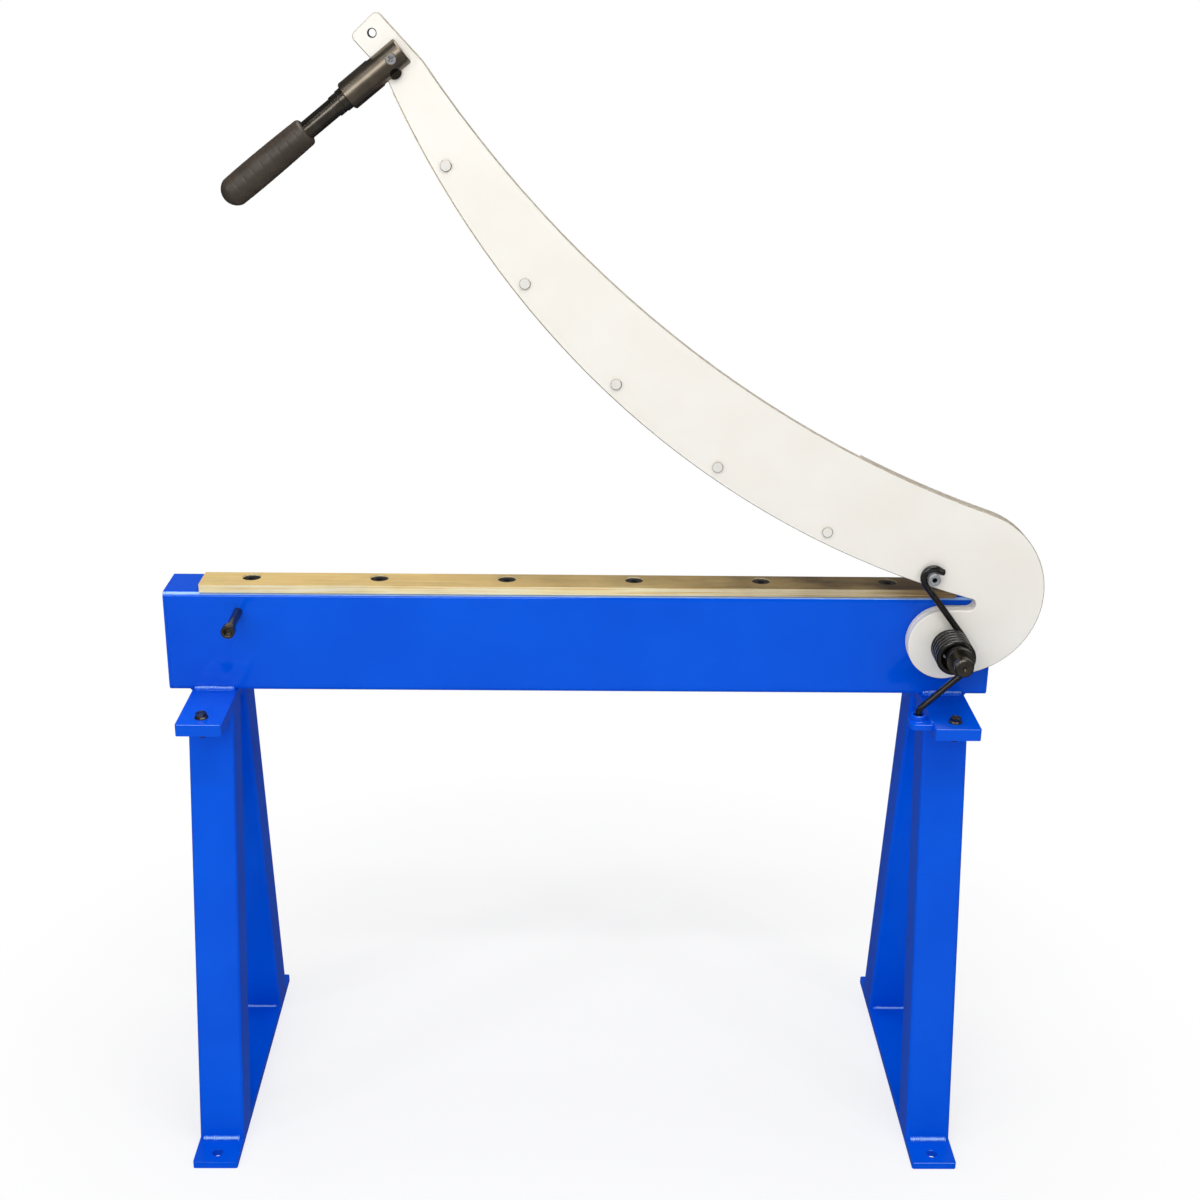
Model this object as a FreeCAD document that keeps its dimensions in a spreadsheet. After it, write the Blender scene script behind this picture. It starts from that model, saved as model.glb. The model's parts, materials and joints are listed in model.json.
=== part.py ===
import FreeCAD, Part
import math
import os

import Sketcher

from FreeCAD import Placement, Rotation, Vector

# Hand guillotine shear on two A-frame stands, seen from its back, with the arm raised.
# X runs along the bed, Y away from the back, Z up from the floor.
# The origin is on the floor, midway between the four floor bolt holes.

doc = FreeCAD.newDocument("guillotine_shear")

# Driving dimensions in millimetres and degrees: name, value, meaning
SIZES = [
    ("beam_depth", 80, "bed beam, front to back"),
    ("beam_height", 140, "bed beam"),
    ("beam_wall", 5, "bed beam wall"),
    ("beam_corner", 8, "outer corner radius of the bed beam"),
    ("end_cap_thickness", 4, "plate welded on each end of the beam"),
    ("bed_height", 760, "top of the beam above the floor"),
    ("blade_length", 1000, "lower blade"),
    ("blade_width", 50, "lower blade"),
    ("blade_thickness", 11, "lower blade"),
    ("blade_start", 48, "lower blade from the left end of the beam"),
    ("blade_finish", 52, "lower blade from the right end of the beam"),
    ("blade_first_hole", 65, "first screw from the left end of the blade"),
    ("blade_last_hole", 87.5, "last screw from the right end of the blade"),
    ("blade_hole_count", 6, "screws of the lower blade"),
    ("blade_hole_line", 31, "screw line from the cutting edge"),
    ("blade_screw", 12, "thread of the lower blade screws"),
    ("blade_screw_head", 24, "countersunk head of the lower blade screws"),
    ("blade_screw_key", 8, "hexagon socket of the lower blade screws"),
    ("blade_key_depth", 4, "hexagon socket of the lower blade screws"),
    ("screw_sink", 1.5, "lower blade screws below the face of the blade"),
    ("screw_clearance", 0.5, "radial clearance of screws in plain holes"),
    ("blade_corner", 2, "corner radius of the lower blade"),
    ("backing_bar_width", 40, "tapped bar under the top wall of the beam"),
    ("backing_bar_thickness", 12, "tapped bar"),
    ("stand_inset", 30, "stand plates from the ends of the beam"),
    ("stand_plate_width", 60, "foot plates, top plates and base plates"),
    ("foot_plate_thickness", 8, "plate welded under the beam"),
    ("top_plate_thickness", 8, "plate on top of the legs"),
    ("foot_plate_overhang", 112, "foot plate past each face of the beam"),
    ("plate_corner", 3, "corner radius of the plates"),
    ("stand_bolt", 8, "thread of the stand bolts"),
    ("stand_bolt_edge", 24, "stand bolt from the end of the foot plate"),
    ("stand_bolt_flats", 13, "stand bolts and nuts across flats"),
    ("stand_bolt_head", 7, "height of the stand bolt heads with their flange"),
    ("stand_bolt_flange", 18, "flange of the stand bolt heads"),
    ("flange_rim", 1.2, "straight rim of the flange"),
    ("flange_rise", 1.6, "sloping top of the flange"),
    ("stand_bolt_dish", 9, "shallow recess in the stand bolt heads"),
    ("stand_bolt_dish_depth", 0.8, "shallow recess in the stand bolt heads"),
    ("stand_nut_height", 6.5, "stand nuts"),
    ("stand_washer", 16, "stand washers, outside"),
    ("stand_washer_thickness", 1.6, "stand washers"),
    ("bolt_end", 3, "bolts past their nuts"),
    ("leg_size", 60, "square tube of the legs"),
    ("leg_wall", 3, "leg wall"),
    ("leg_corner", 5, "outer corner radius of the legs"),
    ("leg_spread_head", 75, "outer leg faces from the middle of the beam, at the top"),
    ("leg_spread_foot", 190, "outer leg faces from the middle of the beam, at the base"),
    ("base_thickness", 10, "base plate"),
    ("near_toe", 50, "base plate past the near leg"),
    ("near_hole_edge", 20, "floor bolt hole from the near end of the base plate"),
    ("far_toe", 32, "base plate past the far leg"),
    ("far_hole_edge", 16, "floor bolt hole from the far end of the base plate"),
    ("floor_hole", 14, "floor bolt holes"),
    ("pivot_inset", 61, "shaft from the right end of the beam"),
    ("pivot_drop", 54, "shaft below the top of the beam"),
    ("shaft_diameter", 25, "pivot shaft"),
    ("bush_diameter", 34, "outside of the arm bush"),
    ("bush_clearance", 0.05, "radial running fit of the arm on its shaft"),
    ("pivot_tube_diameter", 44, "tube welded through the beam"),
    ("thrust_diameter", 62, "thrust washer between beam and arm"),
    ("thrust_thickness", 1.7, "thrust washer"),
    ("side_gap", 0.3, "clearance between the beam and what swings past it"),
    ("shaft_reach", 91.3, "shaft past the outer face of the arm"),
    ("pivot_washer", 48, "washer under the pivot nut"),
    ("pivot_washer_thickness", 4, "washer under the pivot nut"),
    ("pivot_nut_flats", 36, "pivot nut across flats"),
    ("pivot_nut_height", 19, "pivot nut"),
    ("arm_thickness", 12, "arm plate"),
    ("upper_blade_thickness", 12, "upper blade"),
    ("upper_blade_width", 40, "upper blade"),
    ("upper_blade_proud", 2, "cutting edge below the arm's lower edge"),
    ("lobe_radius", 48.5, "round lobe of the arm about the shaft"),
    ("lobe_back", 7, "middle of the lobe from the shaft, towards the blade"),
    ("lobe_drop", 3.5, "middle of the lobe below the shaft"),
    ("end_radius", 115, "round end of the arm"),
    ("end_past", 3, "middle of the round end past the shaft"),
    ("end_rise", 68, "middle of the round end above the shaft"),
    ("top_radius", 1460, "hollow top edge of the arm"),
    ("edge_radius", 1151.3, "crowned lower edge of the arm"),
    ("edge_slope", 139.48, "direction of the lower edge's chord, from the notch outwards"),
    ("notch_reach", 21, "notch over the lobe, past the shaft"),
    ("notch_height", 16.6, "notch over the lobe"),
    ("backing_cut", 75, "end of the backing plate above the notch"),
    ("backing_tail", 190, "tail of the backing plate along the top edge"),
    ("tang_tip_out", 32.8, "middle of the tang's end past the upper blade"),
    ("tang_tip_up", 77.1, "middle of the tang's end above the end of the upper blade"),
    ("tang_angle", 46.8, "slope of the tang"),
    ("tang_upper_length", 77, "straight upper side of the tang"),
    ("tang_width", 43, "tang that the handle grips"),
    ("tang_corner", 7, "corner radius of the tang"),
    ("tang_hole", 9, "hole near the end of the tang"),
    ("tang_hole_edge", 15, "hole from the end of the tang"),
    ("edge_screw_heel", 214.3, "nearest upper blade screw from the notch, along the edge"),
    ("edge_screw_toe", 102.5, "outermost upper blade screw from the end of the upper blade"),
    ("edge_screw_count", 5, "upper blade screws"),
    ("edge_screw_inset", 16, "upper blade screws from the arm's edge"),
    ("edge_screw", 8, "thread of the upper blade screws"),
    ("edge_screw_head", 14, "button head of the upper blade screws"),
    ("edge_screw_head_height", 3, "button head"),
    ("upper_blade_heel", 11.3, "upper blade from the notch, along the edge"),
    ("hook_bolt_along", 59.6, "hook bolt from the notch, along the edge"),
    ("hook_bolt_inset", 15, "hook bolt from the arm's edge"),
    ("hook_bolt_head", 16, "head that the spring pulls on"),
    ("hook_bolt_reach", 18, "hook bolt head past the arm"),
    ("hook_bolt_thread", 10, "hook bolt thread"),
    ("hook_bolt_key", 6, "hexagon socket of the hook bolt"),
    ("hook_key_depth", 6, "hexagon socket of the hook bolt"),
    ("stop_x", 98, "stop bolt from the left end of the beam"),
    ("stop_drop", 27, "stop bolt below the top of the beam"),
    ("stop_bolt", 12, "stop bolt thread"),
    ("stop_reach", 62, "stop bolt under its head, past the beam"),
    ("stop_head", 18, "stop bolt head"),
    ("stop_head_height", 12, "stop bolt head"),
    ("stop_key", 10, "hexagon socket of the stop bolt"),
    ("stop_key_depth", 6, "hexagon socket of the stop bolt"),
    ("stop_nut_flats", 18, "nut of the stop bolt inside the beam"),
    ("stop_nut_height", 10, "nut of the stop bolt inside the beam"),
    ("wire", 8.5, "spring wire"),
    ("coil_diameter", 42.5, "spring coil, mean"),
    ("coil_pitch", 8.8, "spring coil"),
    ("coil_turns", 5, "whole turns, before the part turn between the legs"),
    ("coil_gap", 1.5, "arm to the first turn of the coil"),
    ("coil_shift", 2, "loaded coil off the middle of the shaft, towards the blade"),
    ("coil_sag", 2, "loaded coil below the middle of the shaft"),
    ("leg_easing", 40, "bend that brings the coil's rise into the plane of each leg"),
    ("lower_leg_bend", 12, "bend of the lower leg into the eyelet"),
    ("lower_leg_end", 4, "end of the lower leg above the bottom of the eyelet"),
    ("upper_leg_bend", 25, "bend of the upper leg before the hook"),
    ("hook_clearance", 0.3, "spring wire to the hook bolt"),
    ("hook_end_angle", 50, "where the hook leaves the hook bolt"),
    ("hook_tip_bend", 12, "upturned tip of the hook"),
    ("hook_tip_turn", 35, "upturned tip of the hook"),
    ("lower_leg_angle", 224, "direction of the spring's lower leg"),
    ("hook_pass", 13.6, "upper leg's straight past the middle of the hook bolt"),
    ("eyelet_diameter", 20, "spring eyelet, outside"),
    ("eyelet_bore", 14, "spring eyelet, inside"),
    ("eyelet_height", 16, "spring eyelet"),
    ("eyelet_rise", 6, "spring eyelet above the foot plate"),
    ("eyelet_reach", 16.5, "middle of the spring eyelet from the side of the foot plate"),
    ("ear_reach", 29, "ear that carries the eyelet, from the side of the foot plate"),
    ("ear_depth", 30, "ear that carries the eyelet, front to back"),
    ("ear_near_edge", 18, "eyelet from the near edge of its ear"),
    ("ear_thickness", 8, "ear that carries the eyelet"),
    ("ear_corner", 9, "corner radius of the ear"),
    ("sleeve_diameter", 28, "sleeve in the spring coil"),
    ("collar_diameter", 36, "set collar on the shaft"),
    ("collar_width", 12, "set collar on the shaft"),
    ("collar_gap", 0.4, "spring coil to the set collar"),
    ("collar_screw", 4, "set screw of the collar"),
    ("collar_screw_sink", 1, "set screw below the rim of the collar"),
    ("shaft_chamfer", 2, "both ends of the pivot shaft"),
    ("shaft_centre", 6, "centre drill mark in the ends of the pivot shaft"),
    ("socket_along", 52.5, "end of the handle socket from the end of the tang"),
    ("socket_above", 12.8, "end of the handle socket above the middle of the tang"),
    ("handle_angle", 218.6, "direction of the handle"),
    ("socket_diameter", 35.5, "handle socket"),
    ("socket_length", 86, "handle socket"),
    ("socket_rim", 1.5, "broken edges at both ends of the socket"),
    ("socket_lug", 18, "round lug at the lower side of the socket"),
    ("lug_reach", 3.7, "lug past the side of the socket"),
    ("lug_place", 23, "lug from the end of the socket"),
    ("lug_thickness", 5, "lug of the socket"),
    ("slot_depth", 42, "slot of the socket that straddles the tang"),
    ("slot_clearance", 0.5, "slot wider than the tang"),
    ("rod_diameter", 23, "handle rod"),
    ("rod_length", 206, "handle rod, from the slot to its end in the grip"),
    ("handle_screw", 6, "cross screw of the socket"),
    ("handle_screw_place", 15.8, "cross screw from the end of the socket"),
    ("handle_screw_head", 12, "head of the cross screw"),
    ("handle_screw_head_height", 3.5, "head of the cross screw"),
    ("cross_recess", 7, "cross recess of the cross screw"),
    ("cross_recess_width", 1.4, "cross recess of the cross screw"),
    ("cross_recess_depth", 1.6, "cross recess of the cross screw"),
    ("handle_nut_flats", 10, "nut of the cross screw"),
    ("handle_nut_height", 5, "nut of the cross screw"),
    ("socket_flat", 1, "depth of the flats under the cross screw's head and nut"),
    ("socket_flat_margin", 1, "flats of the socket past the head of the cross screw"),
    ("ferrule_diameter", 27.5, "ferrule between socket and rod"),
    ("ferrule_length", 8, "ferrule"),
    ("ferrule_collar", 25.5, "narrow front of the ferrule"),
    ("ferrule_collar_length", 11, "narrow front of the ferrule"),
    ("grip_start", 148.5, "grip from the end of the socket"),
    ("grip_length", 130.5, "grip"),
    ("grip_diameter", 37.5, "grip at its widest"),
    ("grip_belly", 85, "widest place of the grip from its mouth"),
    ("grip_mouth", 34.5, "grip at its mouth"),
    ("grip_heel", 36.4, "grip before its domed end"),
    ("grip_groove", 0.5, "depth of the grooves of the grip"),
    ("grip_groove_width", 1.6, "grooves of the grip"),
    ("grip_groove_first", 11.7, "first groove from the mouth of the grip"),
    ("grip_groove_pitch", 13.4, "grooves of the grip"),
    ("grip_groove_count", 8, "grooves of the grip"),
    ("grip_lip", 5, "rounded mouth of the grip"),
    ("grip_dome", 14, "height of the domed end of the grip"),
]

sheet = doc.addObject("Spreadsheet::Sheet", "dims")
for row, (alias, value, meaning) in enumerate(SIZES, start=1):
    sheet.set("A%d" % row, alias)
    sheet.set("B%d" % row, str(value))
    sheet.setAlias("B%d" % row, alias)
    sheet.set("C%d" % row, meaning)
doc.recompute()


def dim(alias):
    return float(sheet.get(alias))


# Places that follow from the driving dimensions
PLACES = [
    ("beam_length", "dims.blade_start + dims.blade_length + dims.blade_finish"),
    ("blade_hole_pitch", "(dims.blade_length - dims.blade_first_hole - dims.blade_last_hole)"
                         " / (dims.blade_hole_count - 1)"),
    ("beam_mid_y", "(dims.near_toe - dims.near_hole_edge - dims.far_toe + dims.far_hole_edge) / 2"),
    ("beam_near_y", "places.beam_mid_y - dims.beam_depth / 2"),
    ("beam_far_y", "places.beam_mid_y + dims.beam_depth / 2"),
    ("beam_left_x", "-places.beam_length / 2"),
    ("beam_bottom_z", "dims.bed_height - dims.beam_height"),
    ("foot_bottom_z", "places.beam_bottom_z - dims.foot_plate_thickness"),
    ("leg_top_z", "places.foot_bottom_z - dims.top_plate_thickness"),
    ("leg_height", "places.leg_top_z - dims.base_thickness"),
    ("stand_x", "places.beam_length / 2 - dims.stand_inset - dims.stand_plate_width / 2"),
    ("stop_bolt_x", "places.beam_left_x + dims.stop_x"),
    ("stop_bolt_z", "dims.bed_height - dims.stop_drop"),
    ("foot_near_y", "places.beam_near_y - dims.foot_plate_overhang"),
    ("foot_depth", "dims.beam_depth + 2 * dims.foot_plate_overhang"),
    ("base_near_y", "places.beam_mid_y - dims.leg_spread_foot - dims.near_toe"),
    ("base_depth", "2 * dims.leg_spread_foot + dims.near_toe + dims.far_toe"),
    ("blade_left_x", "places.beam_left_x + dims.blade_start"),
    ("blade_hole_x", "places.blade_left_x + dims.blade_first_hole"),
    ("blade_hole_y", "places.beam_near_y + dims.blade_hole_line"),
    ("blade_top_z", "dims.bed_height + dims.blade_thickness"),
    ("pivot_x", "places.beam_length / 2 - dims.pivot_inset"),
    ("pivot_z", "dims.bed_height - dims.pivot_drop"),
    ("edge_turn", "dims.blade_length / dims.edge_radius * 180 / pi"),
    ("edge_chord", "2 * dims.edge_radius * sin(places.edge_turn / 2)"),
    ("notch_angle", "dims.edge_slope + 90 + places.edge_turn / 2"),
    ("notch_x", "places.pivot_x + dims.notch_reach"),
    ("notch_top_z", "places.pivot_z - dims.lobe_drop + dims.lobe_radius + dims.notch_height"),
    ("edge_centre_x", "places.notch_x - dims.edge_radius * cos(places.notch_angle)"),
    ("edge_centre_z", "places.notch_top_z - dims.edge_radius * sin(places.notch_angle)"),
    ("hook_angle", "places.notch_angle - dims.hook_bolt_along / dims.edge_radius * 180 / pi"),
    ("hook_x", "places.edge_centre_x + (dims.edge_radius - dims.hook_bolt_inset) * cos(places.hook_angle)"),
    ("hook_z", "places.edge_centre_z + (dims.edge_radius - dims.hook_bolt_inset) * sin(places.hook_angle)"),
    ("coil_x", "places.pivot_x - dims.coil_shift"),
    ("coil_z", "places.pivot_z - dims.coil_sag"),
    ("hook_distance", "hypot(places.hook_x - places.coil_x; places.hook_z - places.coil_z)"),
    ("upper_leg_angle", "90 + atan2(places.hook_z - places.coil_z; places.hook_x - places.coil_x) / 1 deg"
                        " - acos((dims.coil_diameter / 2 + dims.hook_pass) / places.hook_distance) / 1 deg"),
    ("blade_back_y", "places.beam_near_y - dims.side_gap"),
    ("arm_back_y", "places.blade_back_y - dims.upper_blade_thickness"),
    ("arm_face_y", "places.arm_back_y - dims.arm_thickness"),
    ("arm_middle_y", "places.arm_back_y - dims.arm_thickness / 2"),
    ("pad_back_y", "places.beam_near_y - dims.thrust_thickness - dims.side_gap"),
    ("coil_back_y", "places.arm_face_y - dims.coil_gap - dims.wire / 2"),
    ("shaft_end_y", "places.arm_face_y - dims.shaft_reach"),
    ("coil_front_y", "places.coil_back_y - dims.coil_pitch * (dims.coil_turns"
                     " + (places.upper_leg_angle - dims.lower_leg_angle + 180) / 360)"),
    ("collar_back_y", "places.coil_front_y - dims.wire / 2 - dims.collar_gap"),
    ("foot_side_x", "places.stand_x - dims.stand_plate_width / 2"),
    ("eyelet_x", "places.foot_side_x - dims.eyelet_reach"),
    ("eyelet_bottom_z", "places.beam_bottom_z + dims.eyelet_rise - dims.eyelet_height"),
    ("near_bolt_y", "places.foot_near_y + dims.stand_bolt_edge"),
    ("far_bolt_y", "places.foot_near_y + places.foot_depth - dims.stand_bolt_edge"),
    ("near_hole_y", "places.base_near_y + dims.near_hole_edge"),
    ("far_hole_y", "places.base_near_y + places.base_depth - dims.far_hole_edge"),
    ("bar_bottom_z", "dims.bed_height - dims.beam_wall - dims.backing_bar_thickness"),
    ("leg_lean", "dims.leg_spread_foot - dims.leg_spread_head"),
    ("edge_screw_pitch", "(dims.blade_length - dims.edge_screw_heel - dims.edge_screw_toe)"
                         " / (dims.edge_screw_count - 1)"),
    ("tip_x", "places.notch_x + places.edge_chord * cos(dims.edge_slope) - dims.tang_tip_out"),
    ("tip_z", "places.notch_top_z + places.edge_chord * sin(dims.edge_slope) + dims.tang_tip_up"),
    ("socket_x", "places.tip_x + dims.socket_along * cos(dims.tang_angle)"
                 " + dims.socket_above * sin(dims.tang_angle)"),
    ("socket_z", "places.tip_z - dims.socket_along * sin(dims.tang_angle)"
                 " + dims.socket_above * cos(dims.tang_angle)"),
]

places = doc.addObject("App::VarSet", "places")
for alias, formula in PLACES:
    places.addProperty("App::PropertyFloat", alias)
    places.setExpression(alias, formula)
places.addProperty("App::PropertyFloat", "reckoned")
doc.recompute()


def place(alias):
    return getattr(places, alias)


def reckon(formula):
    """Works a formula out to a number with the driving sizes."""
    places.setExpression("reckoned", formula)
    places.recompute()
    return places.reckoned


BLADE_HOLES = int(dim("blade_hole_count"))
STAND_XS = ("-places.stand_x", "places.stand_x")
STAND_BOLT_YS = ("places.near_bolt_y", "places.far_bolt_y")
FLOOR_HOLE_YS = ("places.near_hole_y", "places.far_hole_y")

DIRECTIONS = {
    "up": Rotation(),
    "down": Rotation(Vector(1, 0, 0), 180),
    "near": Rotation(Vector(1, 0, 0), 90),
    "far": Rotation(Vector(1, 0, 0), -90),
    "right": Rotation(Vector(0, 1, 0), 90),
    "left": Rotation(Vector(0, 1, 0), -90),
}


def solid(kind, name, at, sizes, towards="up"):
    """A plain form whose sizes and place are formulas of the driving sizes."""
    item = doc.addObject(kind, name)
    item.Placement = Placement(Vector(), DIRECTIONS[towards])
    for prop, formula in sizes.items():
        item.setExpression(prop, formula)
    for axis, formula in zip("xyz", at):
        item.setExpression("Placement.Base." + axis, formula)
    return item


def box(name, at, length, width, height):
    return solid("Part::Box", name, at, {"Length": length, "Width": width, "Height": height})


def cylinder(name, at, radius, height, towards="up"):
    return solid("Part::Cylinder", name, at, {"Radius": radius, "Height": height}, towards)


def cone(name, at, first, second, height, towards="up"):
    sizes = {"Radius1": first, "Radius2": second, "Height": height}
    return solid("Part::Cone", name, at, sizes, towards)


def hexagon(name, at, flats, height, towards="up"):
    item = solid("Part::Prism", name, at, {"Circumradius": flats + " / sqrt(3)", "Height": height}, towards)
    item.Polygon = 6
    return item


def cut(name, base, tool):
    item = doc.addObject("Part::Cut", name)
    item.Base = base
    item.Tool = tool
    return item


def fuse(name, pieces):
    item = doc.addObject("Part::MultiFuse", name)
    item.Shapes = pieces
    item.Refine = True
    return item


def group(name, pieces):
    item = doc.addObject("Part::Compound", name)
    item.Links = pieces
    return item


# Bodies drawn as a profile and padded
def body(name):
    return doc.addObject("PartDesign::Body", name)


def sketch(owner, role, offset="0"):
    """Puts a sketch on one of the body's own planes, moved along the plane's normal."""
    plane = [p for p in owner.Origin.OriginFeatures if p.Role == role][0]
    item = owner.newObject("Sketcher::SketchObject", owner.Name + "_sketch")
    item.AttachmentSupport = (plane, [""])
    item.MapMode = "FlatFace"
    item.setExpression("AttachmentOffset.Base.z", offset)
    return item


def pad(owner, profile, length):
    item = owner.newObject("PartDesign::Pad", owner.Name + "_pad")
    item.Profile = profile
    item.setExpression("Length", length)
    return item


def pocket(owner, profile, depth):
    item = owner.newObject("PartDesign::Pocket", owner.Name + "_pocket")
    item.Profile = profile
    item.setExpression("Length", depth)
    return item


def draw(profile, edges):
    """Draws joined lines and arcs; an arc is given by its start, a point on it and its end."""
    first = profile.GeometryCount
    for points in edges:
        flat = [Vector(x, y, 0) for x, y in points]
        profile.addGeometry(Part.LineSegment(*flat) if len(flat) == 2 else Part.Arc(*flat), False)
    return first


def hold(profile, name, kind, places_held, formula):
    """Adds a dimension to a sketch and binds it to a formula."""
    index = profile.addConstraint(Sketcher.Constraint(kind, *places_held, reckon(formula)))
    profile.renameConstraint(index, name)
    profile.setExpression("Constraints." + name, formula)


def rounded_rectangle(profile, name, left, bottom, width, height, radius):
    """Draws a rectangle with round corners, dimensioned from the origin of the sketch."""
    x, y, w, h, r = (reckon(formula) for formula in (left, bottom, width, height, radius))
    s = r * (1 - math.sqrt(0.5))
    first = draw(profile, [
        [(x + r, y), (x + w - r, y)],
        [(x + w - r, y), (x + w - s, y + s), (x + w, y + r)],
        [(x + w, y + r), (x + w, y + h - r)],
        [(x + w, y + h - r), (x + w - s, y + h - s), (x + w - r, y + h)],
        [(x + w - r, y + h), (x + r, y + h)],
        [(x + r, y + h), (x + s, y + h - s), (x, y + h - r)],
        [(x, y + h - r), (x, y + r)],
        [(x, y + r), (x + s, y + s), (x + r, y)]])
    start, end = 1, 2
    for line in (0, 4):
        profile.addConstraint(Sketcher.Constraint("Horizontal", first + line))
    for line in (2, 6):
        profile.addConstraint(Sketcher.Constraint("Vertical", first + line))
    for line in (0, 2, 4, 6):
        arc = line + 1
        after = (line + 2) % 8
        near_end, far_end = (start, end)
        profile.addConstraint(Sketcher.Constraint("Tangent", first + line, end, first + arc, near_end))
        profile.addConstraint(Sketcher.Constraint("Tangent", first + arc, far_end, first + after, start))
    for arc in (3, 5, 7):
        profile.addConstraint(Sketcher.Constraint("Equal", first + 1, first + arc))
    hold(profile, name + "_radius", "Radius", [first + 1], radius)
    hold(profile, name + "_width", "DistanceX", [first + 6, start, first + 2, start], width)
    hold(profile, name + "_height", "DistanceY", [first, start, first + 4, start], height)
    hold(profile, name + "_left", "DistanceX", [-1, 1, first + 6, start], left)
    hold(profile, name + "_bottom", "DistanceY", [-1, 1, first, start], bottom)


def circle(profile, name, x, y, radius):
    """Draws a circle dimensioned from the origin of the sketch."""
    centre = Vector(reckon(x), reckon(y), 0)
    index = profile.addGeometry(Part.Circle(centre, Vector(0, 0, 1), reckon(radius)), False)
    hold(profile, name + "_radius", "Radius", [index], radius)
    hold(profile, name + "_x", "DistanceX", [-1, 1, index, 3], x)
    hold(profile, name + "_y", "DistanceY", [-1, 1, index, 3], y)


def plate(name, left, near, bottom, width, depth, thickness, holes=()):
    """A flat plate lying level, with round corners and drilled holes."""
    owner = body(name)
    outline = sketch(owner, "XY_Plane", bottom)
    rounded_rectangle(outline, "plate", left, near, width, depth, "dims.plate_corner")
    for number, (x, y, radius) in enumerate(holes):
        circle(outline, "hole%d" % number, x, y, radius)
    pad(owner, outline, thickness)
    return owner


# Bed: a rectangular tube with end caps, and the lower blade screwed along its near top edge
def make_beam():
    owner = body("bed_beam")
    section = sketch(owner, "YZ_Plane", "places.beam_left_x + dims.end_cap_thickness")
    rounded_rectangle(section, "outside", "places.beam_near_y", "places.beam_bottom_z",
                      "dims.beam_depth", "dims.beam_height", "dims.beam_corner")
    rounded_rectangle(section, "inside", "places.beam_near_y + dims.beam_wall",
                      "places.beam_bottom_z + dims.beam_wall", "dims.beam_depth - 2 * dims.beam_wall",
                      "dims.beam_height - 2 * dims.beam_wall", "dims.beam_corner - dims.beam_wall")
    pad(owner, section, "places.beam_length - 2 * dims.end_cap_thickness")
    bore = sketch(owner, "XZ_Plane", "-places.beam_near_y")
    circle(bore, "pivot", "places.pivot_x", "places.pivot_z", "dims.pivot_tube_diameter / 2")
    pocket(owner, bore, "dims.beam_depth")
    stop = sketch(owner, "XZ_Plane", "-places.beam_near_y")
    circle(stop, "stop", "places.stop_bolt_x", "places.stop_bolt_z", "dims.stop_bolt / 2")
    pocket(owner, stop, "dims.beam_wall")
    tapped = sketch(owner, "XY_Plane", "dims.bed_height")
    for number in range(BLADE_HOLES):
        circle(tapped, "screw%d" % number, blade_hole_x(number), "places.blade_hole_y", "dims.blade_screw / 2")
    pocket(owner, tapped, "dims.beam_wall")
    return owner


def make_end_cap(name, left):
    owner = body(name)
    outline = sketch(owner, "YZ_Plane", left)
    rounded_rectangle(outline, "cap", "places.beam_near_y", "places.beam_bottom_z",
                      "dims.beam_depth", "dims.beam_height", "dims.beam_corner")
    pad(owner, outline, "dims.end_cap_thickness")
    return owner


def blade_hole_x(number):
    return "places.blade_hole_x + %d * places.blade_hole_pitch" % number


def make_backing_bar():
    """The tapped bar under the top wall of the beam that the blade screws pull on."""
    bar = box("backing_bar_stock",
              ("places.blade_left_x", "places.blade_hole_y - dims.backing_bar_width / 2",
               "places.bar_bottom_z"),
              "dims.blade_length", "dims.backing_bar_width", "dims.backing_bar_thickness")
    holes = [cylinder("backing_bar_hole", (blade_hole_x(number), "places.blade_hole_y", "places.bar_bottom_z"),
                      "dims.blade_screw / 2", "dims.backing_bar_thickness")
             for number in range(BLADE_HOLES)]
    return cut("blade_backing_bar", bar, group("backing_bar_holes", holes))


def make_lower_blade():
    owner = body("lower_blade")
    outline = sketch(owner, "XY_Plane", "dims.bed_height")
    rounded_rectangle(outline, "blade", "places.blade_left_x", "places.beam_near_y",
                      "dims.blade_length", "dims.blade_width", "dims.blade_corner")
    pad(owner, outline, "dims.blade_thickness")
    doc.recompute()
    profile = sketch(owner, "XZ_Plane", "-places.blade_hole_y")
    x = reckon("places.blade_hole_x")
    shank = reckon("dims.blade_screw / 2 + dims.screw_clearance")
    mouth = reckon("dims.blade_screw_head / 2 + dims.screw_clearance")
    bottom = reckon("dims.bed_height - dims.screw_clearance")
    seat = reckon("places.blade_top_z - dims.screw_sink")
    top = reckon("places.blade_top_z + dims.screw_clearance")
    draw(profile, [
        [(x, bottom), (x + shank, bottom)],
        [(x + shank, bottom), (x + shank, seat - mouth + shank)],
        [(x + shank, seat - mouth + shank), (x + mouth, seat)],
        [(x + mouth, seat), (x + mouth, top)],
        [(x + mouth, top), (x, top)],
        [(x, top), (x, bottom)]])
    hole = owner.newObject("PartDesign::Groove", "screw_hole")
    hole.Profile = profile
    hole.ReferenceAxis = (profile, ["Edge6"])
    hole.Angle = 360
    row = owner.newObject("PartDesign::LinearPattern", "screw_holes")
    row.Originals = [hole]
    row.Direction = (profile, ["H_Axis"])
    row.setExpression("Length", "places.blade_hole_pitch * (dims.blade_hole_count - 1)")
    row.setExpression("Occurrences", "dims.blade_hole_count")
    owner.Tip = row
    return owner


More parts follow.
